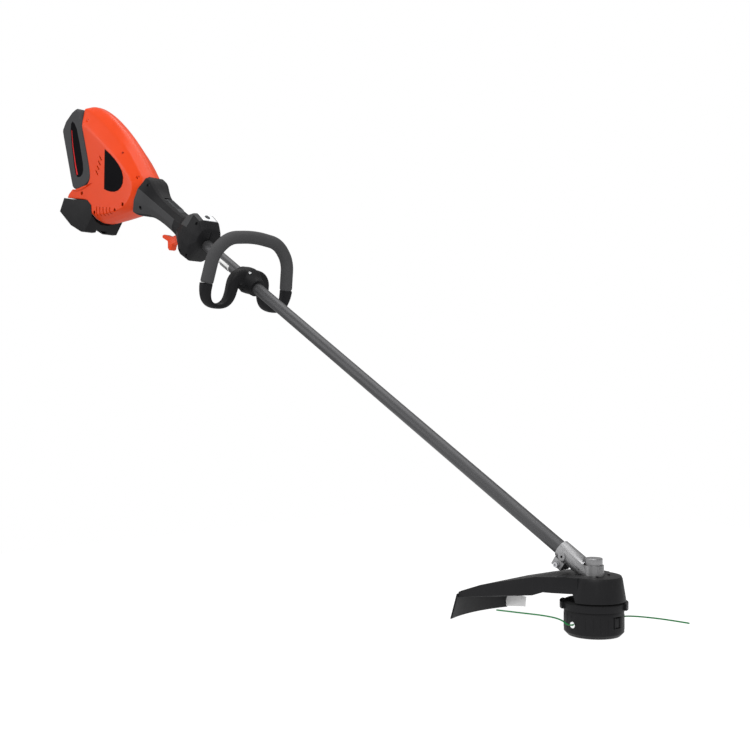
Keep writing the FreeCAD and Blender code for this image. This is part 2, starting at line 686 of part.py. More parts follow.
# ---------------------------------------------------------------- control pod and rear handle
# station along the pod frame: (x, top, bottom, half width at the top, middle, bottom)
HANDLE_STATIONS = [(3, 36, -12, 23, 31, 21), (21, 50, -50, 25, 34, 22), (47, 54, -50, 26, 35, 25),
                   (60, 48, -45, 25, 34, 24), (74, 38, -36, 21, 30, 20), (88, 26, -30, 15, 23, 16),
                   (102, 23, -24, 14, 21, 14), (185, 23, -24, 14, 21, 14), (214, 32, -33, 18, 27, 18),
                   (238, 47, -45, 24, 37, 26), (257, 47, -48, 24, 38, 28)]
HANDLE_SCREWS = [(26, 38, 28), (24, -38, 26), (50, -40, 26), (237, 33, 28), (232, -22, 31)]
PANEL = move(x=34, z=52.2) * turn((0, 1, 0), -8.75)
TRIGGER_PIVOT = (97.0, -30.0)
LEVER_PIVOT = (124.0, 17.0)


def half_section(top, bottom, high, middle, low, side):
    """Half of a rounded section; the body's YZ plane runs y across and z up."""
    knee = 0.34
    return [(0, top), (side * high * 0.75, top), (side * (high + 2), top - 4),
            (side * middle, top - (top - bottom) * knee), (side * middle, bottom + (top - bottom) * knee),
            (side * (low + 2), bottom + 4), (side * low * 0.75, bottom), (0, bottom)]


def side_block(side, x, z, dx, half, dz):
    """Block from the middle plane out to one side."""
    return block(x, 0 if side > 0 else -half, z, dx, half, dz)


def handle_half(side):
    shell = lofted("YZ_Plane", [(x, half_section(*form, side)) for x, *form in HANDLE_STATIONS])
    boss = side_block(side, 78, -46, 30, 15, 28)
    rooms = [side_block(side, 12, -42, 52, 24, 84), side_block(side, 70, -60, 70, 8.6, 44),
             side_block(side, 118, "tube_outer + 0.4", 72, 9.4, 30)]
    bore = rod("tube_outer + slip", -10, 400, "x")
    pins = [rod(1.6, -10, 20, "y", TRIGGER_PIVOT), rod(1.6, -14, 28, "y", LEVER_PIVOT)]
    panel_way = placed(joined(rod(7.4, -30, 40), block(-13.3, -18.8, -1.9, 26.6, 37.6, 20)), PANEL)
    screws = [rod(2.4, y - 6, 30, "y", (x, z)) for x, z, y in HANDLE_SCREWS] if side > 0 else []
    socket = placed(housing_form(side, -size("socket_gap")), move(x=size("housing_place") - size("pod_place")))
    return cut(joined(shell, boss), *rooms, bore, panel_way, socket, *pins, *screws)


def make_handle():
    keep("handle_right", handle_half(1), POD)
    keep("handle_left", handle_half(-1), POD)
    pivot_x, pivot_z = TRIGGER_PIVOT
    blade = [(pivot_x - 6, pivot_z + 5), (pivot_x + 7, pivot_z + 5), (pivot_x + 22, pivot_z - 8),
             (pivot_x + 50, pivot_z - 16), (pivot_x + 55, pivot_z - 21), (pivot_x + 52, pivot_z - 25),
             (pivot_x + 30, pivot_z - 23), (pivot_x + 21, pivot_z - 36), (pivot_x + 14, pivot_z - 38),
             (pivot_x + 10, pivot_z - 34), (pivot_x + 12, pivot_z - 22), (pivot_x - 4, pivot_z - 6)]
    keep("trigger", cut(plate("XZ_Plane", blade, 15, middle=True),
                        rod(1.65, -10, 20, "y", TRIGGER_PIVOT)), POD)
    keep("trigger_pin", rod(1.6, -10, 20, "y", TRIGGER_PIVOT), POD)
    lever_x, lever_z = LEVER_PIVOT
    lever = [(lever_x - 4, lever_z - 3), (lever_x + 6, lever_z - 3.4), (lever_x + 60, lever_z + 2.6),
             (lever_x + 62, lever_z + 8), (lever_x + 56, lever_z + 10), (lever_x + 8, lever_z + 8.6),
             (lever_x - 3, lever_z + 4)]
    keep("lockout_lever", cut(plate("XZ_Plane", lever, 17.6, middle=True),
                              rod(1.65, -10, 20, "y", LEVER_PIVOT)), POD)
    keep("lever_pin", rod(1.6, -14, 28, "y", LEVER_PIVOT), POD)
    keep("trigger_spring", solid(helix(2.2, 1.6, 9.6, 0.4, move(x=pivot_x + 12, z=pivot_z + 3.4))), POD)
    leaf_foot = size("tube_outer") + 0.6
    leaf = [(lever_x + 22, leaf_foot), (lever_x + 49, leaf_foot), (lever_x + 49.6, leaf_foot + 0.6),
            (lever_x + 36, leaf_foot + 3.7), (lever_x + 35.8, leaf_foot + 3.3),
            (lever_x + 48, leaf_foot + 0.45), (lever_x + 22, leaf_foot + 0.4)]
    keep("lever_spring", plate("XZ_Plane", leaf, 6, middle=True), POD)
    keep("switch_module", block(30, -12, -42, 26, 24, 22), POD)
    cover = block(-13, -18.5, -1.6, 26, 37, 2.4)
    keep("pod_panel", cut(cover, rod(6.3, -5, 20)), POD * PANEL)
    keep("power_button", joined(rod(6, -5, 7.2), rod(7, -5.4, 1.5)), POD * PANEL)
    keep("handle_screws", group(*[rod(2.35, y - 5.8, 5, "y", (x, z)) for x, z, y in HANDLE_SCREWS]), POD)


# ---------------------------------------------------------------- powerhead housing
# Side outlines from the housing's front; the same corners in each, so they loft one to one.
def battery_point(up, out):
    """Place in the housing's frame of a point in the battery's frame."""
    spot = REAR.inverse().multiply(BATTERY).multVec(V(up, 0, out))
    return (spot.x, spot.z)


CRADLE = [battery_point(24, 0), battery_point(4, -9), battery_point(-1.5, -34), battery_point(6, -66),
          battery_point(19, -85)]
SPINE = [(0, -30), (2, 38), (36, 47), (78, 68), (152, 91), (250, 105), (326, 98), battery_point(204, 2),
         battery_point(165, 0), *CRADLE, (267, -119), (269, -131), (182, -98), (172, -124), (140, -142),
         (100, -122), (60, -88), (20, -48)]
SHOULDER = [(2, -26), (4, 30), (34, 40), (76, 58), (150, 74), (248, 85), (326, 86), battery_point(199, 1),
            battery_point(165, 0), *CRADLE, (267, -119), (269, -131), (182, -98), (172, -122), (140, -134),
            (100, -116), (60, -84), (20, -46)]
FLANK = [(22, -20), (24, 8), (40, 22), (78, 32), (150, 43), (240, 50), (284, 52), battery_point(149, 2),
         battery_point(146, 0), *CRADLE, (265, -118), (267, -130), (184, -96), (164, -116), (140, -118),
         (100, -101), (62, -76), (36, -50)]


def housing_form(side, grow):
    """Half of the housing's outer form, moved in by grow."""
    flat, shoulder, flank = size("spine_half"), size("shoulder_half"), size("body_half")
    rows = ((0.0, SPINE), (flat, SPINE), (shoulder - grow * 0.6, SHOULDER), (flank - grow, FLANK))
    return lofted("XZ_Plane", [(-side * offset, inset(points[::-1], grow)) for offset, points in rows])


RIGHT_SCREWS = [(120, 57, 36), (34, 34, 33), (137, -108, 43), (62, -66, 43), (40, -40, 43),
                (296, 66, 38), (212, -92, 43)]
LOW_VENTS = 5
SIDE_VENTS = 4
DECAL = [(177, 40), (127, 37), (84, 27), (66, 8), (70, -14), (88, -30), (128, -42)]


def vents(side):
    """Slots through one side of the housing."""
    begin = size("body_half") - 6
    slots = []
    for k in range(LOW_VENTS):
        slot = block(-2, begin, -11, 4, 12, 22)
        lean = turn((0, 1, 0), size("shaft_rise"))
        slots.append(placed(slot, move(x=78 + 13 * k, z=-78 - 5.6 * k) * lean))
    for k in range(SIDE_VENTS):
        slot = block(-8, begin, -1.8, 16, 12, 3.6)
        slots.append(placed(slot, move(x=178 + 1.6 * k, z=-22 + 12 * k) * turn((0, 1, 0), -20)))
    return slots if side > 0 else [mirrored(slot) for slot in slots]


def mirrored(obj):
    """Mirror image of a piece on the other side of the machine."""
    mirror = doc.addObject("Part::Mirroring", "mirrored")
    mirror.Source = obj
    mirror.Normal = V(0, 1, 0)
    return mirror


def rails(grow, long):
    """The two T rails in the battery's frame, grown for the battery's grooves."""
    parts = []
    for y in (-24, 24):
        parts.append(block(2, y - 2 - grow, -6 - grow, long, 4 + 2 * grow, 8 + grow))
        parts.append(block(2, y - 5 - grow, -6 - grow, long, 10 + 2 * grow, 3 + 2 * grow))
    return parts


def rib(side, start, thick, radius):
    """Wall across the inside of one housing half, bored for what it carries."""
    across = common(housing_form(side, 1.0), block(start, -60, -200, thick, 120, 400))
    return cut(across, rod(radius, f"{start} - 1", f"{thick} + 2", "x"))


def make_housing():
    to_rear = REAR.inverse() * BATTERY
    for side, name in ((1, "housing_right"), (-1, "housing_left")):
        walls = cut(housing_form(side, 0.0), housing_form(side, size("shell_wall")))
        ribs = [rib(side, "motor_place - 12", "small_bearing_long", "small_bearing + slip"),
                rib(side, "motor_place + 18", 8, "stator_outer + slip"),
                rib(side, "motor_place + stator_long + 7", "small_bearing_long", "small_bearing + slip")]
        pair = rails(0.0, size("rail_long"))
        posts = [rod(2.5, 2, 4, at=(up, side * 28)) for up in (40, 122)]
        on_wall = placed(joined(*(pair[2:] if side > 0 else pair[:2]), *posts), to_rear)
        seat = placed(block(-6.2, -16.2, -62.2, 18, 32.4, 26.4), to_rear)
        screws = [rod(2.65, y - 8, 30, "y", (x, z)) for x, z, y in RIGHT_SCREWS]
        screws = screws if side > 0 else [mirrored(hole) for hole in screws]
        keep(name, cut(joined(walls, on_wall, *ribs), rod("tube_outer + slip", -20, 34, "x"), seat,
                       *vents(side), *screws), REAR)
    heads = []
    for x, z, y in RIGHT_SCREWS:
        heads += [rod(2.6, y - 6, 5, "y", (x, z)), mirrored(rod(2.6, y - 6, 5, "y", (x, z)))]
    keep("housing_screws", group(*heads), REAR)
    decals = [plate("XZ_Plane", DECAL, 0.6, offset=-number("body_half") - 0.6) for _ in (1, -1)]
    keep("side_decals", group(decals[0], mirrored(decals[1])), REAR)

    foot = [(268, -133), (277, -135), (277, -172), (213, -179), (162, -172), (148, -164), (140, -120),
            (158, -98), (180, -95)]
    arch = [(130, -158), (290, -158), (290, -190), (130, -190)]
    form = plate("XZ_Plane", foot, "2 * body_half + 2", middle=True)
    belly = [housing_form(side, -0.2) for side in (1, -1)]
    hollow = plate("XZ_Plane", inset(foot[::-1], 3.0), "2 * body_half - 6", middle=True)
    tunnel = plate("XZ_Plane", arch, 30, middle=True)
    keep("rear_foot", cut(form, *belly, hollow, tunnel), REAR)

    keep("motor_stator", ring("stator_inner", "stator_outer", "motor_place", "stator_long", "x"), REAR)
    keep("motor_rotor", joined(
        rod("stator_inner - rotor_gap", "motor_place + 2", "stator_long - 4", "x"),
        rod("pinion_stub - slip", "motor_place - 20", "stator_long + 40", "x")), REAR)
    keep("motor_bearings", group(
        ring("pinion_stub", "small_bearing", "motor_place - 12", "small_bearing_long", "x"),
        ring("pinion_stub", "small_bearing", "motor_place + stator_long + 7", "small_bearing_long", "x"),
    ), REAR)
    keep("shaft_coupling", cut(rod(8.5, 30, 24, "x"), rod("drive_rod", 20, 18, "x"),
                               rod("pinion_stub - slip", 45.9, 20, "x")), REAR)
    keep("controller_board", placed(block(32, -34, 6, 100, 68, 1.8), REAR.inverse() * BATTERY), REAR)
    keep("terminal_block", placed(joined(block(-6, -16, -62, 5.6, 32, 26), *[
        block(-1, y - 0.6, -56, 12, 1.2, 14) for y in (-9, 0, 9)]), REAR.inverse() * BATTERY), REAR)


# ---------------------------------------------------------------- battery
WINDOW = [(32, -40), (42, -24), (150, -21), (179, -33), (176, -44), (120, -56), (44, -60)]


def both_sides(points, thickness, outer):
    """Plates with the same outline on both sides of the battery; outer is their outer face's place."""
    right = plate("XZ_Plane", points, thickness, offset=-outer)
    left = plate("XZ_Plane", points, thickness, offset=outer - thickness)
    return [right, left]


def make_battery():
    gap, half = size("battery_gap"), size("battery_half")
    long, thick = size("battery_long"), size("battery_thick")
    side = [(gap + 22, -gap), (long - 10, -gap), (long, -gap - 10), (long, -30), (long - 8, -62),
            (long - 24, -thick), (gap + 20.5, -thick), (gap + 7.5, -66), (gap, -35), (gap + 5, -gap - 8)]
    core = plate("XZ_Plane", side, "2 * battery_half - 10", middle=True)
    skin = plate("XZ_Plane", inset(side[::-1], 3.0), "2 * battery_half", middle=True)
    room = block(30, -33, -78, 132, 66, 58)
    slots = [block(-2, y - 1.2, -57, 16, 2.4, 16) for y in (-9, 0, 9)]
    latch_room = block(165, -17.4, "-battery_thick - 4", 22.8, 34.8, 13)
    keep("battery_case", cut(joined(core, skin), room, latch_room, *both_sides(WINDOW, 1.2, half),
                             *rails(size("rail_gap"), 170), *slots), BATTERY)
    keep("battery_windows", group(*both_sides(WINDOW, 1.0, half - 0.2)), BATTERY)
    cells = [rod(9.2, -32.6, 65.2, "y", (44 + 33 * row, -30 - 18.8 * column))
             for row in range(4) for column in range(3)]
    keep("battery_cells", group(*cells), BATTERY)
    keep("battery_latch", block(165.4, -17, "-battery_thick - 1.5", 22, 34, 6.5), BATTERY)
    keep("latch_spring", solid(helix(3, 1.4, 2.8, 0.5, move(x=176, z=-thick + 5.6))), BATTERY)


MAKERS = [make_head, make_line_ends, make_gearbox, make_guard, make_shaft, make_loop,
          make_handle, make_housing, make_battery]

for maker in MAKERS:
    maker()
doc.recompute()

for obj in doc.Objects:
    if "Invalid" in obj.State or "Error" in obj.State:
        raise RuntimeError(f"{obj.Label} ({obj.Name}) failed: {obj.State}")
os.makedirs("parts", exist_ok=True)
for name, obj in NODES.items():
    shape = obj.Shape
    if shape.isNull() or not shape.isValid():
        raise RuntimeError(f"{name} has no valid shape")
    print(f"{name}: {len(shape.Solids)} solids, volume {shape.Volume:.0f}, box {shape.BoundBox}")
    shape.exportStep(f"parts/{name}.step")
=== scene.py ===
"""Looks of a battery string trimmer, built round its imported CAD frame."""

import enum
import json
import logging
import math
from dataclasses import dataclass, field

import bmesh
import bpy
from mathutils import Matrix, Vector

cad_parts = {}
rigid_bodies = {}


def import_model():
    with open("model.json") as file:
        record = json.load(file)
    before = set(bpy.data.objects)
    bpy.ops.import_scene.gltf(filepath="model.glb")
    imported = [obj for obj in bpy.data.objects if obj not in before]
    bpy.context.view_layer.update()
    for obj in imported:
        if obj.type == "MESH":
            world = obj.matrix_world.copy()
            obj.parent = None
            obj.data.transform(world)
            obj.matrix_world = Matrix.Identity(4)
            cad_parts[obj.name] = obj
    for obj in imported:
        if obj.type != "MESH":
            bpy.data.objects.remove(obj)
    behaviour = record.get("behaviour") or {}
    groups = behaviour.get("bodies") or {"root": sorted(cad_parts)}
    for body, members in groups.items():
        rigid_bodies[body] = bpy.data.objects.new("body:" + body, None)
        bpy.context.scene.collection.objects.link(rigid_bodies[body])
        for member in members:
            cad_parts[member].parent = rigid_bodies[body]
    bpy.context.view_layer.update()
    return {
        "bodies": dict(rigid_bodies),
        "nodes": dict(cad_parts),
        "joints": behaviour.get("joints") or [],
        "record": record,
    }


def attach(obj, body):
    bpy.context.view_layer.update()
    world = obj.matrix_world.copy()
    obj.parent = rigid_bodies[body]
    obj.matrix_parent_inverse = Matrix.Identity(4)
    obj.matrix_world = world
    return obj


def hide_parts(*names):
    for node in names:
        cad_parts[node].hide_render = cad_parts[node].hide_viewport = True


LOG = logging.getLogger("trimmer")
MM = 0.001
RISE = math.radians(32.1)


# ---------------------------------------------------------------- frames
def shift(x: float = 0.0, y: float = 0.0, z: float = 0.0) -> Matrix:
    """Translation in millimetres."""
    return Matrix.Translation(Vector((x, y, z)) * MM)


def tilt(degrees: float, axis: str = "Y") -> Matrix:
    """Turn about one axis."""
    return Matrix.Rotation(math.radians(degrees), 4, axis)


def shaft_frame() -> Matrix:
    """Frame with x up the shaft from the gear apex and z square to it, upwards."""
    along = Vector((-math.cos(RISE), 0.0, math.sin(RISE)))
    square = Vector((math.sin(RISE), 0.0, math.cos(RISE)))
    turn = Matrix((along, Vector((0.0, -1.0, 0.0)), square)).transposed().to_4x4()
    return shift(z=93.3) @ turn


HEAD = Matrix.Identity(4)
SHAFT = shaft_frame()
LOOP = SHAFT @ shift(992.0) @ tilt(19.5)
POD = SHAFT @ shift(1155.0)
PANEL = POD @ shift(34.0, 0.0, 52.2) @ tilt(-8.75)
REAR = SHAFT @ shift(1400.0)
BATTERY = REAR @ shift(188.0, 0.0, -48.5) @ tilt(-40.0)

Point = tuple[float, float, float]
Flat = tuple[float, float]


def battery_point(up: float, out: float) -> Flat:
    """Place in the rear housing's frame of a point in the battery's frame."""
    spot = REAR.inverted() @ BATTERY @ (Vector((up, 0.0, out)) * MM) / MM
    return (spot.x, spot.z)


def inset(points: list[Flat], step: float) -> list[Flat]:
    """Outline moved in by step at every corner.

    Args:
        points: corners in counter-clockwise order.
        step: distance to move each side inwards.

    Returns:
        The moved corners.
    """
    moved = []
    for i, point in enumerate(points):
        here = Vector(point)
        before = (here - Vector(points[i - 1])).normalized()
        after = (Vector(points[(i + 1) % len(points)]) - here).normalized()
        spread = Vector((-before.y, before.x)) + Vector((-after.y, after.x))
        here = here + spread * (2.0 * step / max(spread.length_squared, 0.4))
        moved.append((here.x, here.y))
    return moved


# ---------------------------------------------------------------- shader groups
class Socket(enum.Enum):
    """Kinds of socket on the node groups."""

    FLOAT = "NodeSocketFloat"
    VECTOR = "NodeSocketVector"
    GEOMETRY = "NodeSocketGeometry"
    INT = "NodeSocketInt"
    MATERIAL = "NodeSocketMaterial"


class Sheet:
    """A node tree with short ways to add and link nodes."""

    def __init__(self, tree: bpy.types.NodeTree) -> None:
        """Work on one tree."""
        self.tree = tree

    def add(self, kind: str, **values: object) -> bpy.types.Node:
        """New node; keyword values set its properties."""
        node = self.tree.nodes.new(kind)
        for key, value in values.items():
            setattr(node, key, value)
        return node

    def link(self, source: bpy.types.NodeSocket, target: bpy.types.NodeSocket) -> None:
        """Connect two sockets."""
        self.tree.links.new(source, target)

    def socket(self, name: str, kind: Socket, inward: bool = True, default: object = None) -> None:
        """Add a named socket to a group's interface."""
        item = self.tree.interface.new_socket(
            name=name, in_out="INPUT" if inward else "OUTPUT", socket_type=kind.value)
        if default is not None:
            item.default_value = default

    def mix(self, factor: bpy.types.NodeSocket, first: bpy.types.NodeSocket,
            color: tuple[float, float, float]) -> bpy.types.NodeSocket:
        """Colour mix towards a fixed colour; returns its output."""
        node = self.add("ShaderNodeMix", data_type="RGBA")
        self.link(factor, node.inputs[0])
        self.link(first, node.inputs[6])
        node.inputs[7].default_value = (*color, 1.0)
        return node.outputs[2]

    def math(self, operation: str, first: object, second: object = None) -> bpy.types.NodeSocket:
        """Math node on two sockets or numbers; returns its output."""
        node = self.add("ShaderNodeMath", operation=operation)
        for place, value in enumerate((first, second)):
            if isinstance(value, bpy.types.NodeSocket):
                self.link(value, node.inputs[place])
            elif value is not None:
                node.inputs[place].default_value = float(value)
        return node.outputs[0]


def grain_group() -> bpy.types.NodeTree:
    """Fine moulded grain: a height and a slow mottling mask on object coordinates."""
    tree = bpy.data.node_groups.new("moulded_grain", "ShaderNodeTree")
    sheet = Sheet(tree)
    sheet.socket("Grain Scale", Socket.FLOAT, default=900.0)
    sheet.socket("Mottle Scale", Socket.FLOAT, default=12.0)
    sheet.socket("Stretch", Socket.VECTOR)
    sheet.socket("Height", Socket.FLOAT, inward=False)
    sheet.socket("Mottle", Socket.FLOAT, inward=False)
    sheet.socket("Dust", Socket.FLOAT, inward=False)
    start, end = sheet.add("NodeGroupInput"), sheet.add("NodeGroupOutput")
    place = sheet.add("ShaderNodeTexCoord")
    scaled = sheet.add("ShaderNodeMapping")
    sheet.link(place.outputs["Object"], scaled.inputs["Vector"])
    sheet.link(start.outputs["Stretch"], scaled.inputs["Scale"])
    grain = sheet.add("ShaderNodeTexNoise")
    grain.inputs["Detail"].default_value = 3.0
    sheet.link(scaled.outputs[0], grain.inputs["Vector"])
    sheet.link(start.outputs["Grain Scale"], grain.inputs["Scale"])
    sheet.link(grain.outputs["Fac"], end.inputs["Height"])
    mottle = sheet.add("ShaderNodeTexNoise")
    mottle.inputs["Detail"].default_value = 5.0
    mottle.inputs["Roughness"].default_value = 0.62
    sheet.link(place.outputs["Object"], mottle.inputs["Vector"])
    sheet.link(start.outputs["Mottle Scale"], mottle.inputs["Scale"])
    sheet.link(mottle.outputs["Fac"], end.inputs["Mottle"])
    upward = sheet.add("ShaderNodeSeparateXYZ")
    sheet.link(sheet.add("ShaderNodeNewGeometry").outputs["Normal"], upward.inputs[0])
    facing = sheet.math("MAXIMUM", upward.outputs["Z"], 0.0)
    sheet.link(sheet.math("MULTIPLY", facing, mottle.outputs["Fac"]), end.inputs["Dust"])
    return tree


def wear_group() -> bpy.types.NodeTree:
    """Handling wear: lighter edges and fine scratches, as masks."""
    tree = bpy.data.node_groups.new("handling_wear", "ShaderNodeTree")
    sheet = Sheet(tree)
    sheet.socket("Edge Amount", Socket.FLOAT, default=0.5)
    sheet.socket("Scratch Amount", Socket.FLOAT, default=0.3)
    sheet.socket("Edge", Socket.FLOAT, inward=False)
    sheet.socket("Scratch", Socket.FLOAT, inward=False)
    start, end = sheet.add("NodeGroupInput"), sheet.add("NodeGroupOutput")
    sharp = sheet.add("ShaderNodeMapRange")
    sharp.inputs["From Min"].default_value = 0.53
    sharp.inputs["From Max"].default_value = 0.62
    sheet.link(sheet.add("ShaderNodeNewGeometry").outputs["Pointiness"], sharp.inputs["Value"])
    place = sheet.add("ShaderNodeTexCoord")
    patchy = sheet.add("ShaderNodeTexNoise")
    patchy.inputs["Scale"].default_value = 60.0
    sheet.link(place.outputs["Object"], patchy.inputs["Vector"])
    worn = sheet.math("MULTIPLY", sharp.outputs["Result"], patchy.outputs["Fac"])
    sheet.link(sheet.math("MULTIPLY", worn, start.outputs["Edge Amount"]), end.inputs["Edge"])
    drawn = sheet.add("ShaderNodeMapping")
    drawn.inputs["Scale"].default_value = (900.0, 60.0, 140.0)
    drawn.inputs["Rotation"].default_value = (0.4, 0.5, 0.9)
    sheet.link(place.outputs["Object"], drawn.inputs["Vector"])
    marks = sheet.add("ShaderNodeTexNoise")
    marks.inputs["Scale"].default_value = 1.0
    marks.inputs["Detail"].default_value = 2.0
    sheet.link(drawn.outputs[0], marks.inputs["Vector"])
    thin = sheet.add("ShaderNodeMapRange")
    thin.inputs["From Min"].default_value = 0.66
    thin.inputs["From Max"].default_value = 0.72
    sheet.link(marks.outputs["Fac"], thin.inputs["Value"])
    faded = sheet.math("MULTIPLY", thin.outputs["Result"], start.outputs["Scratch Amount"])
    sheet.link(faded, end.inputs["Scratch"])
    return tree


def shared(name: str) -> bpy.types.NodeTree:
    """One of the shared shader groups, built on first use."""
    makers = {"moulded_grain": grain_group, "handling_wear": wear_group}
    return bpy.data.node_groups.get(name) or makers[name]()


@dataclass(frozen=True)
class Finish:
    """One surface finish, made into a material once."""

    name: str
    color: tuple[float, float, float]
    roughness: float = 0.5
    metallic: float = 0.0
    coat: float = 0.0
    specular: float = 0.12
    grain_scale: float = 1100.0
    grain_depth: float = 0.12
    mottle: float = 0.06
    dust: float = 0.02
    wear: float = 0.02
    scratch: float = 0.10
    stretch: tuple[float, float, float] = (1.0, 1.0, 1.0)
    subsurface: float = 0.0
    glow: float = 0.0

    def material(self) -> bpy.types.Material:
        """The material of this finish, built on first use."""
        return bpy.data.materials.get(f"look_{self.name}") or self.build()

    def build(self) -> bpy.types.Material:
        """Make the material's nodes.

        Returns:
            The new material.
        """
        material = bpy.data.materials.new(f"look_{self.name}")
        material.use_nodes = True
        sheet = Sheet(material.node_tree)
        shader = material.node_tree.nodes["Principled BSDF"]
        shader.inputs["Metallic"].default_value = self.metallic
        shader.inputs["Specular IOR Level"].default_value = self.specular
        shader.inputs["Coat Weight"].default_value = self.coat
        shader.inputs["Coat Roughness"].default_value = 0.12
        shader.inputs["Subsurface Weight"].default_value = self.subsurface
        shader.inputs["Emission Color"].default_value = (1.0, 1.0, 1.0, 1.0)
        shader.inputs["Emission Strength"].default_value = self.glow
        grain = sheet.add("ShaderNodeGroup", node_tree=shared("moulded_grain"))
        grain.inputs["Grain Scale"].default_value = self.grain_scale
        grain.inputs["Mottle Scale"].default_value = 14.0
        grain.inputs["Stretch"].default_value = self.stretch
        wear = sheet.add("ShaderNodeGroup", node_tree=shared("handling_wear"))
        wear.inputs["Edge Amount"].default_value = self.wear
        wear.inputs["Scratch Amount"].default_value = self.scratch
        sheet.link(self.tint(sheet, grain, wear), shader.inputs["Base Color"])
        rough = sheet.add("ShaderNodeMapRange")
        rough.inputs["From Min"].default_value = 0.3
        rough.inputs["From Max"].default_value = 0.7
        rough.inputs["To Min"].default_value = max(self.roughness - self.mottle, 0.03)
        rough.inputs["To Max"].default_value = min(self.roughness + self.mottle * 1.5, 1.0)
        sheet.link(grain.outputs["Mottle"], rough.inputs["Value"])
        rubbed = sheet.math("ADD", rough.outputs["Result"],
                            sheet.math("MULTIPLY", wear.outputs["Scratch"], 0.3))
        sheet.link(rubbed, shader.inputs["Roughness"])
        bump = sheet.add("ShaderNodeBump")
        bump.inputs["Strength"].default_value = self.grain_depth
        bump.inputs["Distance"].default_value = 0.0004
        sheet.link(grain.outputs["Height"], bump.inputs["Height"])
        sheet.link(bump.outputs["Normal"], shader.inputs["Normal"])
        return material

    def tint(self, sheet: Sheet, grain: bpy.types.Node, wear: bpy.types.Node) -> bpy.types.NodeSocket:
        """Base colour with slow variation, rubbed edges and a little dust on top faces."""
        ramp = sheet.add("ShaderNodeValToRGB")
        low, high = ramp.color_ramp.elements
        low.position, high.position = 0.3, 0.7
        low.color = tuple(c * (1.0 - self.mottle) for c in self.color) + (1.0,)
        high.color = tuple(min(c * (1.0 + self.mottle), 1.0) for c in self.color) + (1.0,)
        sheet.link(grain.outputs["Mottle"], ramp.inputs["Fac"])
        rubbed = sheet.mix(sheet.math("ADD", wear.outputs["Edge"], wear.outputs["Scratch"]),
                           ramp.outputs["Color"],
                           tuple(min(c * 1.8 + 0.04, 1.0) for c in self.color))
        return sheet.mix(sheet.math("MULTIPLY", grain.outputs["Dust"], self.dust), rubbed, (0.55, 0.52, 0.48))


ORANGE = Finish("orange_gloss_shell", (0.70, 0.050, 0.004), 0.32, coat=0.04, specular=0.2, grain_depth=0.05,
                mottle=0.03,
                wear=0.0, scratch=0.02)
# Darker orange for the housing screw heads at the floors of their pits: painted shade of the recesses, not a
# colour the screws have.
RECESS_SHADE_ORANGE = Finish("orange_painted_recess_shade", (0.30, 0.018, 0.006), 0.5, wear=0.0)
BLACK = Finish("black_textured_plastic", (0.010, 0.010, 0.011), 0.50, grain_depth=0.25)
CHARCOAL = Finish("charcoal_plastic", (0.012, 0.012, 0.013), 0.46, grain_depth=0.18)
PANEL_GREY = Finish("side_panel_grey", (0.048, 0.048, 0.050), 0.58, grain_depth=0.30)
GREY = Finish("grey_plastic", (0.060, 0.062, 0.065), 0.55, grain_depth=0.22)
BATTERY_GREY = Finish("battery_grey_plastic", (0.044, 0.045, 0.048), 0.50, grain_depth=0.22)
WINDOW = Finish("black_gloss_window", (0.002, 0.002, 0.003), 0.35, specular=0.02, grain_depth=0.02, wear=0.0)
STRIPE = Finish("red_stripe", (0.55, 0.010, 0.012), 0.35, grain_depth=0.03, wear=0.0)
DECAL = Finish("black_film", (0.002, 0.002, 0.003), 0.36, specular=0.02, grain_depth=0.02, wear=0.0)
WHITE = Finish("white_gloss_panel", (0.86, 0.87, 0.88), 0.25, coat=0.2, grain_depth=0.03, mottle=0.02)
LABEL = Finish("white_label_film", (0.86, 0.86, 0.85), 0.42, grain_depth=0.05, mottle=0.03)
PRINT = Finish("dark_print", (0.05, 0.05, 0.055), 0.5, grain_depth=0.0)
CAST = Finish("cast_silver", (0.30, 0.30, 0.305), 0.38, metallic=0.9, specular=0.3, grain_scale=700.0,
              grain_depth=0.40,
              mottle=0.12, wear=0.5)
TUBE = Finish("satin_tube", (0.085, 0.085, 0.088), 0.42, metallic=0.55, grain_depth=0.08, mottle=0.03,
              wear=0.0,
              scratch=0.06)
STEEL = Finish("ground_steel", (0.62, 0.62, 0.64), 0.26, metallic=1.0, grain_depth=0.25,
               stretch=(1.0, 0.12, 1.0))
KNIFE = Finish("bright_knife_steel", (0.93, 0.93, 0.93), 0.30, metallic=0.3, specular=0.5, grain_depth=0.05)
DARK_STEEL = Finish("blackened_steel", (0.035, 0.035, 0.038), 0.38, metallic=0.6, grain_depth=0.15)
CHROME = Finish("polished_ring", (0.86, 0.87, 0.88), 0.12, metallic=1.0, grain_depth=0.04)
LINE = Finish("green_nylon_line", (0.012, 0.17, 0.05), 0.40, subsurface=0.05, grain_depth=0.05, dust=0.0,
              wear=0.0)
SOFT = Finish("soft_grip_rubber", (0.060, 0.060, 0.062), 0.72, grain_scale=1500.0, grain_depth=0.45)
COPPER = Finish("wound_copper", (0.72, 0.33, 0.16), 0.35, metallic=1.0, grain_depth=0.3,
                stretch=(0.1, 1.0, 1.0))
BOARD = Finish("green_board", (0.015, 0.12, 0.045), 0.35, coat=0.3)
CELL = Finish("blue_film_cells", (0.02, 0.12, 0.38), 0.3, coat=0.2)
RUBBER = Finish("black_rubber", (0.012, 0.012, 0.012), 0.8, grain_depth=0.4)
FLOOR = Finish("white_floor", (0.10, 0.10, 0.10), 0.9, specular=0.0, grain_depth=0.0, mottle=0.0, dust=0.0,
               wear=0.0, scratch=0.0, glow=1.0)


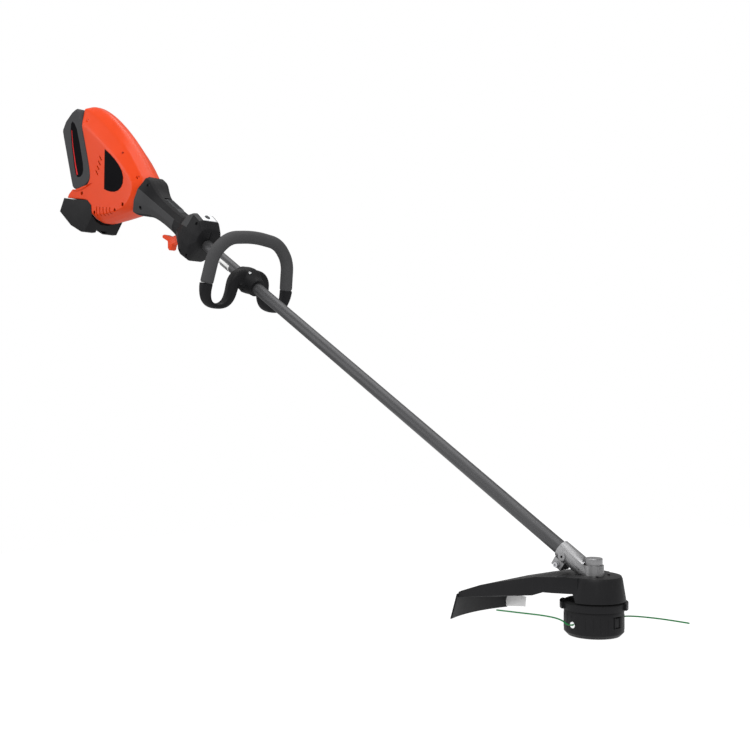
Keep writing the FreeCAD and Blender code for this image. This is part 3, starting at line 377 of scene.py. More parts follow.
# ---------------------------------------------------------------- mesh helpers
def finished(obj: bpy.types.Object) -> bpy.types.Object:
    """Apply every modifier and leave a plain mesh.

    Args:
        obj: mesh or curve object with live modifiers.

    Returns:
        The same object for a mesh, or a new mesh object in a curve's place.
    """
    graph = bpy.context.evaluated_depsgraph_get()
    mesh = bpy.data.meshes.new_from_object(obj.evaluated_get(graph), depsgraph=graph)
    name = obj.name
    if obj.type == "MESH":
        obj.modifiers.clear()
        obj.data = mesh
        return obj
    bpy.data.objects.remove(obj)
    return added(name, mesh)


def added(name: str, mesh: bpy.types.ID) -> bpy.types.Object:
    """New object in the scene for a mesh or curve."""
    obj = bpy.data.objects.new(name, mesh)
    bpy.context.scene.collection.objects.link(obj)
    return obj


def mesh_piece(name: str, points: list[Point], faces: list[list[int]], frame: Matrix) -> bpy.types.Object:
    """Object from points in millimetres in a frame, with normals turned outwards."""
    mesh = bpy.data.meshes.new(name)
    mesh.from_pydata([frame @ (Vector(point) * MM) for point in points], [], faces)
    form = bmesh.new()
    form.from_mesh(mesh)
    bmesh.ops.recalc_face_normals(form, faces=form.faces)
    form.to_mesh(mesh)
    form.free()
    return added(name, mesh)


def smooth(obj: bpy.types.Object, degrees: float = 38.0) -> bpy.types.Object:
    """Smooth shading that keeps edges sharper than the angle."""
    obj.data.polygons.foreach_set("use_smooth", [True] * len(obj.data.polygons))
    obj.data.set_sharp_from_angle(angle=math.radians(degrees))
    return obj


def dress(obj: bpy.types.Object, finish: Finish) -> bpy.types.Object:
    """Give a piece one finish."""
    obj.data.materials.clear()
    obj.data.materials.append(finish.material())
    return obj


def bevelled(obj: bpy.types.Object, width: float, segments: int = 3,
             degrees: float = 32.0) -> bpy.types.Object:
    """Round a piece's sharp edges.

    Args:
        obj: mesh object.
        width: bevel width in millimetres.
        segments: steps across the bevel.
        degrees: only edges sharper than this are rounded.

    Returns:
        The object with its bevel applied.
    """
    bevel = obj.modifiers.new("edges", "BEVEL")
    bevel.width = width * MM
    bevel.segments = segments
    bevel.limit_method = "ANGLE"
    bevel.angle_limit = math.radians(degrees)
    return smooth(finished(obj))


def lofted(name: str, rings: list[list[Point]], frame: Matrix, ring_creases: dict[int, float],
           rail_creases: dict[int, float], caps: tuple[bool, bool] = (True, True),
           marks: tuple[tuple[int, int], ...] = (), levels: int = 3) -> bpy.types.Object:
    """Subdivided skin through rings with the same number of points.

    Args:
        name: object name.
        rings: closed rings of points in millimetres.
        frame: frame the points are in.
        ring_creases: crease of the edges round a ring, by ring number.
        rail_creases: crease of the edges from ring to ring, by point number.
        caps: whether the first and the last ring are closed.
        marks: faces, by ring and point number, given the second material index.
        levels: subdivision levels.

    Returns:
        The finished mesh object.
    """
    count = len(rings[0])
    points = [point for ring in rings for point in ring]
    faces = []
    for row in range(len(rings) - 1):
        for k in range(count):
            after = (k + 1) % count
            faces.append([row * count + k, row * count + after, (row + 1) * count + after,
                          (row + 1) * count + k])
    if caps[0]:
        faces.append(list(range(count))[::-1])
    if caps[1]:
        faces.append([(len(rings) - 1) * count + k for k in range(count)])
    obj = mesh_piece(name, points, faces, frame)
    mesh = obj.data
    for row, rail in marks:
        mesh.polygons[row * count + rail].material_index = 1
    crease = mesh.attributes.new("crease_edge", "FLOAT", "EDGE")
    for edge in mesh.edges:
        first, second = sorted(edge.vertices)
        if first // count == second // count:
            crease.data[edge.index].value = ring_creases.get(first // count, 0.0)
        else:
            crease.data[edge.index].value = rail_creases.get(first % count, 0.0)
    surface = obj.modifiers.new("surface", "SUBSURF")
    surface.levels = surface.render_levels = levels
    return finished(obj)


def peeled(obj: bpy.types.Object, name: str, proud: float, sunk: float = 0.6) -> bpy.types.Object:
    """Plate on the marked faces of a piece.

    Args:
        obj: piece whose faces of material index 1 are marked.
        name: name of the plate.
        proud: how far it stands out, in millimetres.
        sunk: how far it reaches into the piece.

    Returns:
        The plate.
    """
    form = bmesh.new()
    form.from_mesh(obj.data)
    bmesh.ops.delete(form, geom=[face for face in form.faces if face.material_index != 1], context="FACES")
    mesh = bpy.data.meshes.new(name)
    form.to_mesh(mesh)
    form.free()
    mesh.polygons.foreach_set("material_index", [0] * len(mesh.polygons))
    obj.data.polygons.foreach_set("material_index", [0] * len(obj.data.polygons))
    plate = added(name, mesh)
    skin = plate.modifiers.new("plate", "SOLIDIFY")
    skin.thickness = (proud + sunk) * MM
    skin.offset = (proud - sunk) / (proud + sunk)
    plate = finished(plate)
    return bevelled(plate, 0.4, 2, 50.0)


def both_sides(name: str, outline: tuple[Flat, ...], inner: float, outer: float,
               frame: Matrix) -> bpy.types.Object:
    """Plates with one outline on both sides of a body, from inner to outer off its middle."""
    count = len(outline)
    points, faces = [], []
    for side in (1, -1):
        low = len(points)
        points += [(x, side * y, z) for y in (inner, outer) for x, z in outline]
        faces += [[low + k for k in range(count)], [low + count + k for k in range(count)]]
        faces += [[low + k, low + (k + 1) % count, low + count + (k + 1) % count, low + count + k]
                  for k in range(count)]
    return mesh_piece(name, points, faces, frame)


def drill(spots: list[Point], facing: Point, radius: float, frame: Matrix,
          long: float = 14.0) -> list[bpy.types.Object]:
    """Round cutters whose flat ends stand on the spots.

    Args:
        spots: places in millimetres of the holes' floors.
        facing: direction the holes open to.
        radius: hole radius in millimetres.
        frame: frame of the spots.
        long: length of the cutters in millimetres.

    Returns:
        The cutters.
    """
    tools = []
    turn = Vector(facing).to_track_quat("Z", "Y").to_matrix().to_4x4()
    for k, spot in enumerate(spots):
        circle = [(radius * math.cos(math.tau * i / 36),
                   radius * math.sin(math.tau * i / 36)) for i in range(36)]
        points = [(x, y, z) for z in (0.0, long) for x, y in circle]
        faces = [list(range(36)), list(range(36, 72))]
        faces += [[i, (i + 1) % 36, 36 + (i + 1) % 36, 36 + i] for i in range(36)]
        tools.append(mesh_piece(f"drill_{k}", points, faces, frame @ shift(*spot) @ turn))
    return tools


def cutter(name: str, box: tuple[Point, Point], frame: Matrix, rounding: float) -> bpy.types.Object:
    """Rounded block from two corners, for cutting slots."""
    (x0, y0, z0), (x1, y1, z1) = box
    points = [(x, y, z) for x in (x0, x1) for y in (y0, y1) for z in (z0, z1)]
    faces = [[0, 1, 3, 2], [4, 6, 7, 5], [0, 4, 5, 1], [2, 3, 7, 6], [0, 2, 6, 4], [1, 5, 7, 3]]
    obj = mesh_piece(name, points, faces, frame)
    return bevelled(obj, rounding, 2) if rounding else obj


def carve(obj: bpy.types.Object, tools: list[bpy.types.Object]) -> bpy.types.Object:
    """Cut the tools out of a piece, then remove them."""
    for tool in tools:
        cut = obj.modifiers.new("cut", "BOOLEAN")
        cut.object = tool
        cut.operation = "DIFFERENCE"
        cut.solver = "EXACT"
    obj = finished(obj)
    for tool in tools:
        bpy.data.objects.remove(tool)
    return obj


# ---------------------------------------------------------------- geometry nodes
def growth(name: str, inputs: dict[str, Socket]) -> tuple[Sheet, bpy.types.Node]:
    """New geometry tree.

    Args:
        name: tree name.
        inputs: its named inputs besides the geometry and the material.

    Returns:
        The tree's sheet and its input node.
    """
    tree = bpy.data.node_groups.new(name, "GeometryNodeTree")
    sheet = Sheet(tree)
    sheet.socket("Geometry", Socket.GEOMETRY)
    for label, kind in inputs.items():
        sheet.socket(label, kind)
    sheet.socket("Material", Socket.MATERIAL)
    sheet.socket("Geometry", Socket.GEOMETRY, inward=False)
    return sheet, sheet.add("NodeGroupInput")


def close(sheet: Sheet, start: bpy.types.Node, geometry: bpy.types.NodeSocket) -> bpy.types.NodeTree:
    """End a tree with real geometry in its material."""
    real = sheet.add("GeometryNodeRealizeInstances")
    sheet.link(geometry, real.inputs["Geometry"])
    dressed = sheet.add("GeometryNodeSetMaterial")
    sheet.link(real.outputs[0], dressed.inputs["Geometry"])
    sheet.link(start.outputs["Material"], dressed.inputs["Material"])
    sheet.link(dressed.outputs[0], sheet.add("NodeGroupOutput").inputs[0])
    return sheet.tree


def cylinder(sheet: Sheet, radius: object, depth: object, lift: object, sides: int) -> bpy.types.NodeSocket:
    """Cylinder on the z axis whose middle is lifted by lift; returns its mesh."""
    body = sheet.add("GeometryNodeMeshCylinder")
    body.inputs["Vertices"].default_value = sides
    sheet.link(radius, body.inputs["Radius"])
    sheet.link(depth, body.inputs["Depth"])
    up = sheet.add("ShaderNodeCombineXYZ")
    sheet.link(lift, up.inputs["Z"])
    moved = sheet.add("GeometryNodeTransform")
    sheet.link(body.outputs["Mesh"], moved.inputs["Geometry"])
    sheet.link(up.outputs[0], moved.inputs["Translation"])
    return moved.outputs[0]


def screw_tree() -> bpy.types.NodeTree:
    """Socket screws on points, standing along their 'facing' attribute."""
    labels = ("Head Radius", "Head Height", "Socket Radius", "Shank Radius", "Shank Length")
    sheet, start = growth("socket_screws", dict.fromkeys(labels, Socket.FLOAT))
    radius, high, key, thin, long = (start.outputs[label] for label in labels)
    head = cylinder(sheet, radius, high, sheet.math("MULTIPLY", high, 0.5), 28)
    shank = cylinder(sheet, thin, sheet.math("ADD", long, high), sheet.math("MULTIPLY", long, -0.5), 20)
    joint = sheet.add("GeometryNodeMeshBoolean", operation="UNION")
    sheet.link(head, joint.inputs["Mesh 2"])
    sheet.link(shank, joint.inputs["Mesh 2"])
    hollow = sheet.add("GeometryNodeMeshBoolean", operation="DIFFERENCE")
    sheet.link(joint.outputs[0], hollow.inputs["Mesh 1"])
    sheet.link(cylinder(sheet, key, high, high, 6), hollow.inputs["Mesh 2"])
    facing = sheet.add("GeometryNodeInputNamedAttribute", data_type="FLOAT_VECTOR")
    facing.inputs["Name"].default_value = "facing"
    aim = sheet.add("FunctionNodeAlignRotationToVector", axis="Z")
    sheet.link(facing.outputs["Attribute"], aim.inputs["Vector"])
    spread = sheet.add("GeometryNodeInstanceOnPoints")
    sheet.link(start.outputs["Geometry"], spread.inputs["Points"])
    sheet.link(hollow.outputs[0], spread.inputs["Instance"])
    sheet.link(aim.outputs[0], spread.inputs["Rotation"])
    return close(sheet, start, spread.outputs[0])


def row_tree() -> bpy.types.NodeTree:
    """A row of blocks, one step apart."""
    sheet, start = growth("block_row", {"Count": Socket.INT, "Step": Socket.VECTOR, "Size": Socket.VECTOR})
    line = sheet.add("GeometryNodeMeshLine")
    sheet.link(start.outputs["Count"], line.inputs["Count"])
    sheet.link(start.outputs["Step"], line.inputs["Offset"])
    cube = sheet.add("GeometryNodeMeshCube")
    sheet.link(start.outputs["Size"], cube.inputs["Size"])
    spread = sheet.add("GeometryNodeInstanceOnPoints")
    sheet.link(line.outputs[0], spread.inputs["Points"])
    sheet.link(cube.outputs["Mesh"], spread.inputs["Instance"])
    return close(sheet, start, spread.outputs[0])


def round_tree() -> bpy.types.NodeTree:
    """Upright blocks round a circle, each facing outwards."""
    sheet, start = growth("block_ring", {"Count": Socket.INT, "Radius": Socket.FLOAT, "Size": Socket.VECTOR})
    circle = sheet.add("GeometryNodeMeshCircle")
    sheet.link(start.outputs["Count"], circle.inputs["Vertices"])
    sheet.link(start.outputs["Radius"], circle.inputs["Radius"])
    cube = sheet.add("GeometryNodeMeshCube")
    sheet.link(start.outputs["Size"], cube.inputs["Size"])
    aim = sheet.add("FunctionNodeAlignRotationToVector", axis="X")
    sheet.link(sheet.add("GeometryNodeInputPosition").outputs[0], aim.inputs["Vector"])
    spread = sheet.add("GeometryNodeInstanceOnPoints")
    sheet.link(circle.outputs[0], spread.inputs["Points"])
    sheet.link(cube.outputs["Mesh"], spread.inputs["Instance"])
    sheet.link(aim.outputs[0], spread.inputs["Rotation"])
    return close(sheet, start, spread.outputs[0])


def winding_tree() -> bpy.types.NodeTree:
    """Flat spirals of line stacked on one another."""
    labels = {"Rows": Socket.INT, "Turns": Socket.FLOAT, "Inner": Socket.FLOAT, "Outer": Socket.FLOAT,
              "Thick": Socket.FLOAT}
    sheet, start = growth("line_winding", labels)
    spiral = sheet.add("GeometryNodeCurveSpiral")
    spiral.inputs["Resolution"].default_value = 40
    spiral.inputs["Height"].default_value = 0.0
    sheet.link(start.outputs["Turns"], spiral.inputs["Rotations"])
    sheet.link(start.outputs["Inner"], spiral.inputs["Start Radius"])
    sheet.link(start.outputs["Outer"], spiral.inputs["End Radius"])
    profile = sheet.add("GeometryNodeCurvePrimitiveCircle")
    profile.inputs["Resolution"].default_value = 8
    sheet.link(sheet.math("MULTIPLY", start.outputs["Thick"], 0.5), profile.inputs["Radius"])
    sweep = sheet.add("GeometryNodeCurveToMesh")
    sweep.inputs["Fill Caps"].default_value = True
    sheet.link(spiral.outputs[0], sweep.inputs["Curve"])
    sheet.link(profile.outputs[0], sweep.inputs["Profile Curve"])
    step = sheet.add("ShaderNodeCombineXYZ")
    sheet.link(start.outputs["Thick"], step.inputs["Z"])
    line = sheet.add("GeometryNodeMeshLine")
    sheet.link(start.outputs["Rows"], line.inputs["Count"])
    sheet.link(step.outputs[0], line.inputs["Offset"])
    spread = sheet.add("GeometryNodeInstanceOnPoints")
    sheet.link(line.outputs[0], spread.inputs["Points"])
    sheet.link(sweep.outputs[0], spread.inputs["Instance"])
    return close(sheet, start, spread.outputs[0])


def sleeve_tree() -> bpy.types.NodeTree:
    """A sleeve along the edges it is given, rounded off at both ends."""
    sheet, start = growth("path_sleeve", {"Radius": Socket.FLOAT, "Rounding": Socket.FLOAT})
    path = sheet.add("GeometryNodeMeshToCurve")
    sheet.link(start.outputs["Geometry"], path.inputs["Mesh"])
    even = sheet.add("GeometryNodeResampleCurve")
    even.inputs["Count"].default_value = 220
    sheet.link(path.outputs[0], even.inputs["Curve"])
    along = sheet.add("GeometryNodeSplineParameter").outputs["Factor"]
    near = sheet.math("MINIMUM", along, sheet.math("SUBTRACT", 1.0, along))
    rise = sheet.add("ShaderNodeMapRange", interpolation_type="SMOOTHERSTEP")
    rise.inputs["From Max"].default_value = 0.012
    rise.inputs["To Max"].default_value = 1.0
    sheet.link(sheet.math("SUBTRACT", 1.0, start.outputs["Rounding"]), rise.inputs["To Min"])
    sheet.link(near, rise.inputs["Value"])
    profile = sheet.add("GeometryNodeCurvePrimitiveCircle")
    profile.inputs["Resolution"].default_value = 48
    sheet.link(start.outputs["Radius"], profile.inputs["Radius"])
    sweep = sheet.add("GeometryNodeCurveToMesh")
    sweep.inputs["Fill Caps"].default_value = True
    sheet.link(even.outputs[0], sweep.inputs["Curve"])
    sheet.link(profile.outputs[0], sweep.inputs["Profile Curve"])
    sheet.link(rise.outputs["Result"], sweep.inputs["Scale"])
    return close(sheet, start, sweep.outputs[0])


TREES = {"socket_screws": screw_tree, "block_row": row_tree, "block_ring": round_tree,
         "line_winding": winding_tree, "path_sleeve": sleeve_tree}


def grown(obj: bpy.types.Object, name: str, finish: Finish, frame: Matrix,
          **values: object) -> bpy.types.Object:
    """Run a named tree on a piece and keep its result as a plain mesh.

    Args:
        obj: piece the tree works on.
        name: tree name.
        finish: finish of the grown geometry.
        frame: frame the grown geometry is placed in.
        values: the tree's inputs, with underscores for the spaces in their names.

    Returns:
        The piece, now holding the grown geometry.
    """
    tree = bpy.data.node_groups.get(name) or TREES[name]()
    modifier = obj.modifiers.new("grown", "NODES")
    modifier.node_group = tree
    given = {key.replace("_", " ").title(): value for key,
             value in values.items()} | {"Material": finish.material()}
    for item in tree.interface.items_tree:
        if item.in_out == "INPUT" and item.name in given:
            modifier[item.identifier] = given[item.name]
    obj = finished(obj)
    obj.data.transform(frame)
    return obj


def seed(name: str, points: list[Point], edges: bool = False) -> bpy.types.Object:
    """Loose points in millimetres, joined in a row when edges is set."""
    mesh = bpy.data.meshes.new(name)
    rows = [(k, k + 1) for k in range(len(points) - 1)] if edges else []
    mesh.from_pydata([Vector(point) * MM for point in points], rows, [])
    return added(name, mesh)


# ---------------------------------------------------------------- carried-over and refined nodes
@dataclass(frozen=True)
class Refit:
    """How a CAD node is shown: its finish, and the rounding of its edges if it gets any."""

    node: str
    finish: Finish
    rounding: float = 0.0
    body: str = "frame"
    slot: str = ""
    flare: float = 0.0

    def apply(self, frame: dict) -> None:
        """Dress the node, or replace it with a copy that has rounded edges."""
        source = frame["nodes"][self.node]
        dress(source, self.finish)
        if not self.rounding:
            return
        form = bmesh.new()
        form.from_mesh(source.data)
        bmesh.ops.remove_doubles(form, verts=form.verts, dist=2e-6)
        bmesh.ops.dissolve_limit(form, angle_limit=math.radians(1.2), verts=form.verts, edges=form.edges)
        if self.flare:
            for vert in form.verts:
                reach = math.hypot(vert.co.x, vert.co.y)
                share = min(max((reach - 0.190) / 0.055, 0.0),
                            1.0) * min(max((vert.co.z - 0.003) / 0.043, 0.0), 1.0)
                pull = 1.0 - self.flare * MM * share / max(reach, 0.01)
                vert.co.x, vert.co.y = vert.co.x * pull, vert.co.y * pull
        mesh = bpy.data.meshes.new(f"{self.node}_finished")
        form.to_mesh(mesh)
        form.free()
        obj = dress(bevelled(added(f"{self.node}_finished", mesh), self.rounding), self.finish)
        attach(obj, self.body)
        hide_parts(self.node)


REFITS = (
    Refit("gearbox_case", CAST, 0.7, "frame", "cast_silver"),
    Refit("gearbox_cap", CAST, 0.6, "frame", "cast_silver"),
    Refit("output_bearings", STEEL), Refit("pinion_bearings", STEEL),
    Refit("guard_shell", CHARCOAL, 1.1, "frame", "charcoal_plastic", 9.0),
    Refit("guard_skirt", CHARCOAL, 0.8, "frame", "charcoal_plastic", 9.0),
    Refit("line_knife", KNIFE),
    Refit("shaft_tube", TUBE), Refit("shaft_bushes", RUBBER), Refit("tube_label", LABEL),
    Refit("trigger_pin", STEEL), Refit("lever_pin", STEEL), Refit("trigger_spring", STEEL),
    Refit("lever_spring", STEEL), Refit("switch_module", BLACK),

    Refit("rear_foot", BLACK, 1.6, "frame", "black_plastic"),
    Refit("motor_stator", COPPER), Refit("motor_bearings", STEEL), Refit("controller_board", BOARD),
    Refit("terminal_block", STEEL),
    Refit("head_cover", CHARCOAL, 0.6, "head", "charcoal_plastic"),
    Refit("head_case", CHARCOAL, 0.6, "head", "charcoal_plastic"),
    Refit("line_eyelets", CHROME, 0.25, "head", "chrome_ring"),
    Refit("drive_flange", DARK_STEEL), Refit("arbor_nut", STEEL), Refit("output_shaft", STEEL),
    Refit("output_gear", DARK_STEEL), Refit("spool_spring", STEEL),
    Refit("line_spool", BLACK),
    Refit("bump_knob", CHARCOAL, 0.8, "spool", "charcoal_plastic"),
    Refit("drive_shaft", STEEL), Refit("pinion_gear", DARK_STEEL), Refit("shaft_coupling", STEEL),
    Refit("motor_rotor", DARK_STEEL),
    Refit("clamp_cap", BLACK, 1.2, "loop", "black_plastic"),
    Refit("pod_panel", WHITE, 0.5, "frame", "white_panel"),
    Refit("power_button", GREY, 0.5, "power_button", "grey_plastic"),
    Refit("trigger", ORANGE, 1.6, "trigger", "orange_shell"),
    Refit("lockout_lever", GREY, 1.3, "lockout_lever", "grey_plastic"),
    Refit("battery_cells", CELL), Refit("latch_spring", STEEL),
    Refit("battery_latch", BLACK, 1.4, "latch", "black_plastic"),
    Refit("housing_right", ORANGE), Refit("housing_left", ORANGE),
    Refit("handle_right", BLACK), Refit("handle_left", BLACK), Refit("battery_case", BATTERY_GREY),
)


# ---------------------------------------------------------------- screws and small rows
@dataclass(frozen=True)
class ScrewSet:
    """Socket screws of one node."""

    node: str
    body: str
    frame: Matrix
    facing: Point
    spots: tuple[Point, ...]
    head: tuple[float, float]
    shank: tuple[float, float]
    finish: Finish = DARK_STEEL
    slot: str = "dark_steel"

    def build(self, frame: dict) -> None:
        """Grow the screws on their places."""
        cloud = seed(f"{self.node}_heads", list(self.spots))
        facing = cloud.data.attributes.new("facing", "FLOAT_VECTOR", "POINT")
        for item in facing.data:
            item.vector = self.facing
        screws = grown(cloud, "socket_screws", self.finish, self.frame,
                       head_radius=self.head[0] * MM, head_height=self.head[1] * MM,
                       socket_radius=self.head[0] * 0.55 * MM, shank_radius=self.shank[0] * MM,
                       shank_length=self.shank[1] * MM)
        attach(smooth(screws, 40.0), self.body)
        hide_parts(self.node)


HOUSING_SPOTS = ((120, 57, 36), (34, 34, 33), (137, -108, 43), (62, -66, 43), (40, -40, 43), (296, 66, 38),
                 (212, -92, 43))
HANDLE_SPOTS = ((26, 38, 28), (24, -38, 26), (50, -40, 26), (237, 33, 28), (232, -22, 31))
FLANGE_SPOTS = tuple((24.0 * math.cos(math.radians(a)), 24.0 * math.sin(math.radians(a)), 88.5)
                     for a in (45, 135, 225, 315))
CLAMP_SPOTS = tuple((x, y, -16.5) for x in (-12, 10) for y in (-16, 16))


def add_rows() -> None:
    """Rows of ribs and marks that stand on finished pieces."""
    rows = (
        ("lever_ribs", GREY, POD @ shift(136, 0, 26.2) @ tilt(-1.7), 9, (5.0, 0, 0), (1.8, 14.5, 1.2), 0.4,
         "lockout_lever", "grey_plastic"),
        ("label_marks", PRINT, SHAFT @ shift(1056, 10.2, -7.2) @ tilt(-35, "X"), 7, (4.6, 0, 0),
         (2.2, 0.7, 8.5), 0.0,
         "frame", "label_white"),
    )
    for name, finish, place, count, step, size, rounding, body, slot in rows:
        row = grown(seed(name, [(0, 0, 0)]), "block_row", finish, place, count=count,
                    step=[v * MM for v in step], size=[v * MM for v in size])
        row = bevelled(row, rounding, 2) if rounding else row
        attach(row, body)


def add_rings() -> None:
    """Upright ribs round the drum and the knob."""
    rings = (("case_ribs", "head", 24, 46.75, (1.2, 1.2, 24.0), 24.0),
             ("knob_ribs", "spool", 36, 33.9, (1.0, 2.0, 2.2), 3.6))
    for name, body, count, radius, size, height in rings:
        ring = grown(seed(name, [(0, 0, 0)]), "block_ring", CHARCOAL, shift(z=height), count=count,
                     radius=radius * MM, size=[v * MM for v in size])
        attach(bevelled(ring, 0.3, 2), body)


def add_winding() -> None:
    """Both tiers of the spooled line."""
    for name, low, rows in (("winding_low", 12.6, 4), ("winding_high", 24.4, 5)):
        coil = grown(seed(name, [(0, 0, 0)]), "line_winding", LINE, shift(z=low), rows=rows, turns=5.0,
                     inner=19.4 * MM, outer=31.6 * MM, thick=2.4 * MM)
        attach(smooth(coil, 60.0), "spool")
        if rows == 5:
            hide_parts("line_winding")


# ---------------------------------------------------------------- powerhead housing
@dataclass
class PowerHousing:
    """The two shells round the motor, open at the seam and cut by their vents."""

    half: float = 44.0
    shoulder: float = 26.0
    spine: float = 10.0
    wall: float = 2.6
    seam: float = 0.10
    decal: tuple[Flat, ...] = ((177, 40), (150, 39), (127, 36.5), (104, 32), (84, 25), (71, 15), (65, 3),
                               (66, -9),
                               (73, -20), (85, -29), (100, -35.5), (114, -39.5), (128, -42))
    low_vents: int = 5
    side_vents: int = 4
    cradle: list[Flat] = field(default_factory=lambda: [
        battery_point(24, 0), battery_point(4, -9), battery_point(-1.5, -34), battery_point(6, -66),
        battery_point(19, -85)])

    def outlines(self) -> tuple[list[Flat], list[Flat], list[Flat]]:
        """Side outlines at the spine, the shoulder and the flank, corner for corner."""
        spine = [(0, -30), (2, 38), (36, 47), (78, 68), (152, 91), (250, 105), (326, 98),
                 battery_point(204, 2), battery_point(165, 0), *self.cradle, (267, -119), (269, -131),
                 (182, -98), (172, -124), (140, -140), (100, -111), (60, -80), (20, -46)]
        shoulder = [(2, -26), (4, 30), (34, 40), (76, 58), (150, 74), (248, 85), (326, 86),
                    battery_point(199, 1), battery_point(165, 0), *self.cradle, (267, -119), (269, -131),
                    (182, -98), (172, -122), (140, -132), (100, -105), (60, -76), (20, -44)]
        flank = [(22, -20), (24, 8), (40, 22), (78, 32), (150, 43), (240, 50), (284, 52),
                 battery_point(149, 2), battery_point(146, 0), *self.cradle, (265, -118), (267, -130),
                 (184, -96), (164, -116), (140, -116), (100, -93), (62, -70), (36, -48)]
        return spine, shoulder, flank

    def rings(self, side: int) -> list[list[Point]]:
        """Rings of the shell from the seam out to the flank's inner edge."""
        spine, shoulder, flank = self.outlines()
        edge = [(a[0] * 0.9 + b[0] * 0.1, a[1] * 0.9 + b[1] * 0.1) for a, b in zip(flank, shoulder)]
        rows = ((self.seam, spine), (self.spine, spine), (self.shoulder, shoulder), (self.half - 1.6, edge),
                (self.half, inset(flank[::-1], 2.0)[::-1]))
        return [[(x, side * y, z) for x, z in outline] for y, outline in rows]

    def slots(self, side: int) -> list[bpy.types.Object]:
        """Blocks that cut the motor's and the controller's vents."""
        tools = []
        low, high = sorted((side * (self.half - 9.0), side * (self.half + 8.0)))
        for k in range(self.low_vents):
            place = REAR @ shift(78 + 13 * k, 0, -78 - 5.6 * k) @ tilt(32.1)
            tools.append(cutter(f"slot_low_{k}", ((-2, low, -11), (2, high, 11)), place, 1.6))
        for k in range(self.side_vents):
            place = REAR @ shift(178 + 1.6 * k, 0, -22 + 12 * k) @ tilt(-20)
            tools.append(cutter(f"slot_side_{k}", ((-8, low, -1.8), (8, high, 1.8)), place, 1.4))
        return tools

    def build(self, frame: dict) -> None:
        """Make both halves in place of the plain shells."""
        corners = {7: 0.5, 8: 0.7, 9: 0.2, 13: 0.6, 14: 0.8, 15: 0.8, 16: 0.7, 17: 0.3}
        for side, name in ((1, "housing_right"), (-1, "housing_left")):
            shell = lofted(f"{name}_shell", self.rings(side), REAR,
                           {0: 1.0, 1: 0.25, 2: 0.85, 3: 0.35, 4: 0.35},
                           corners, caps=(False, True))
            skin = shell.modifiers.new("wall", "SOLIDIFY")
            skin.thickness = self.wall * MM
            skin.offset = -1.0
            pits = drill([(x, side * (y - 2.4), z) for x, z, y in HOUSING_SPOTS], (0, side, 0), 4.8, REAR)
            shell = carve(finished(shell), self.slots(side) + pits)
            dress(smooth(shell, 30.0), ORANGE)
            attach(shell, "frame")
            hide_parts(name)
            LOG.info("%s: %d faces", shell.name, len(shell.data.polygons))
        film = dress(both_sides("side_decal_film", self.decal, self.half - 0.2, self.half + 0.5, REAR), DECAL)
        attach(film, "frame")
        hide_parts("side_decals")


# ---------------------------------------------------------------- handle and control pod
@dataclass
class RearHandle:
    """Control pod, grip and flared root as two moulded halves."""

    seam: float = 0.10
    stations: list[tuple[float, ...]] = field(default_factory=lambda: [
        (3, 36, -12, 23, 31, 21), (21, 50, -50, 25, 34, 22), (47, 54, -50, 26, 35, 25),
        (60, 48, -45, 25, 34, 24), (74, 38, -36, 21, 30, 20), (88, 26, -30, 15, 23, 16),
        (102, 23, -24, 14, 21, 14), (185, 23, -24, 14, 21, 14), (214, 32, -33, 18, 27, 18),
        (238, 47, -45, 24, 37, 26), (257, 47, -48, 24, 38, 28)])

    def section(self, form: tuple[float, ...], side: int) -> list[Point]:
        """Half section at one station, from the top seam round to the bottom seam."""
        x, top, bottom, high, middle, low = form
        knee = (top - bottom) * 0.34
        flat = [(self.seam, top), (high * 0.75, top), (high + 2, top - 4), (middle, top - knee),
                (middle, bottom + knee), (low + 2, bottom + 4), (low * 0.75, bottom), (self.seam, bottom)]
        return [(x, side * y, z) for y, z in flat]

    def build(self, frame: dict) -> None:
        """Make both halves with the slots for the trigger, the lever and the button."""
        facets = ((1, 1), (2, 1), (2, 2), (3, 1), (3, 2), (4, 4), (6, 3), (6, 4), (7, 3), (7, 4),
                  (8, 3), (8, 4), (9, 3), (9, 4))
        for side, name in ((1, "handle_right"), (-1, "handle_left")):
            rings = [self.section(form, side) for form in self.stations]
            half = lofted(f"{name}_grip", rings, POD, {0: 0.7, 1: 0.6, 2: 0.5, 3: 0.6, 4: 0.4, 10: 0.9},
                          {0: 1.0, 7: 1.0, 1: 0.7, 6: 0.7, 2: 0.75, 3: 0.6, 4: 0.6, 5: 0.75}, marks=facets)
            plate = peeled(half, f"{name}_side", 0.5)
            rooms = [cutter("trigger_way", ((70, -8.6, -60), (140, 8.6, -16)), POD, 0.0),
                     cutter("lever_way", ((118, -9.4, 12.4), (190, 9.4, 42)), POD, 0.0),
                     cutter("panel_way", ((-13.3, -18.8, -1.9), (13.3, 18.8, 18)), PANEL, 0.0),
                     *drill([(0, 0, -30)], (0, 0, 1), 7.4, PANEL)]
            if side > 0:
                rooms += drill([(x, y - 2.0, z) for x, z, y in HANDLE_SPOTS], (0, 1, 0), 3.8, POD)
                plate = carve(plate,
                              drill([(x, y - 8.0, z) for x, z, y in HANDLE_SPOTS], (0, 1, 0), 4.4, POD))
            half = carve(half, rooms)
            dress(smooth(half, 32.0), BLACK)
            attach(half, "frame")
            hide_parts(name)
            dress(plate, PANEL_GREY)
            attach(plate, "frame")


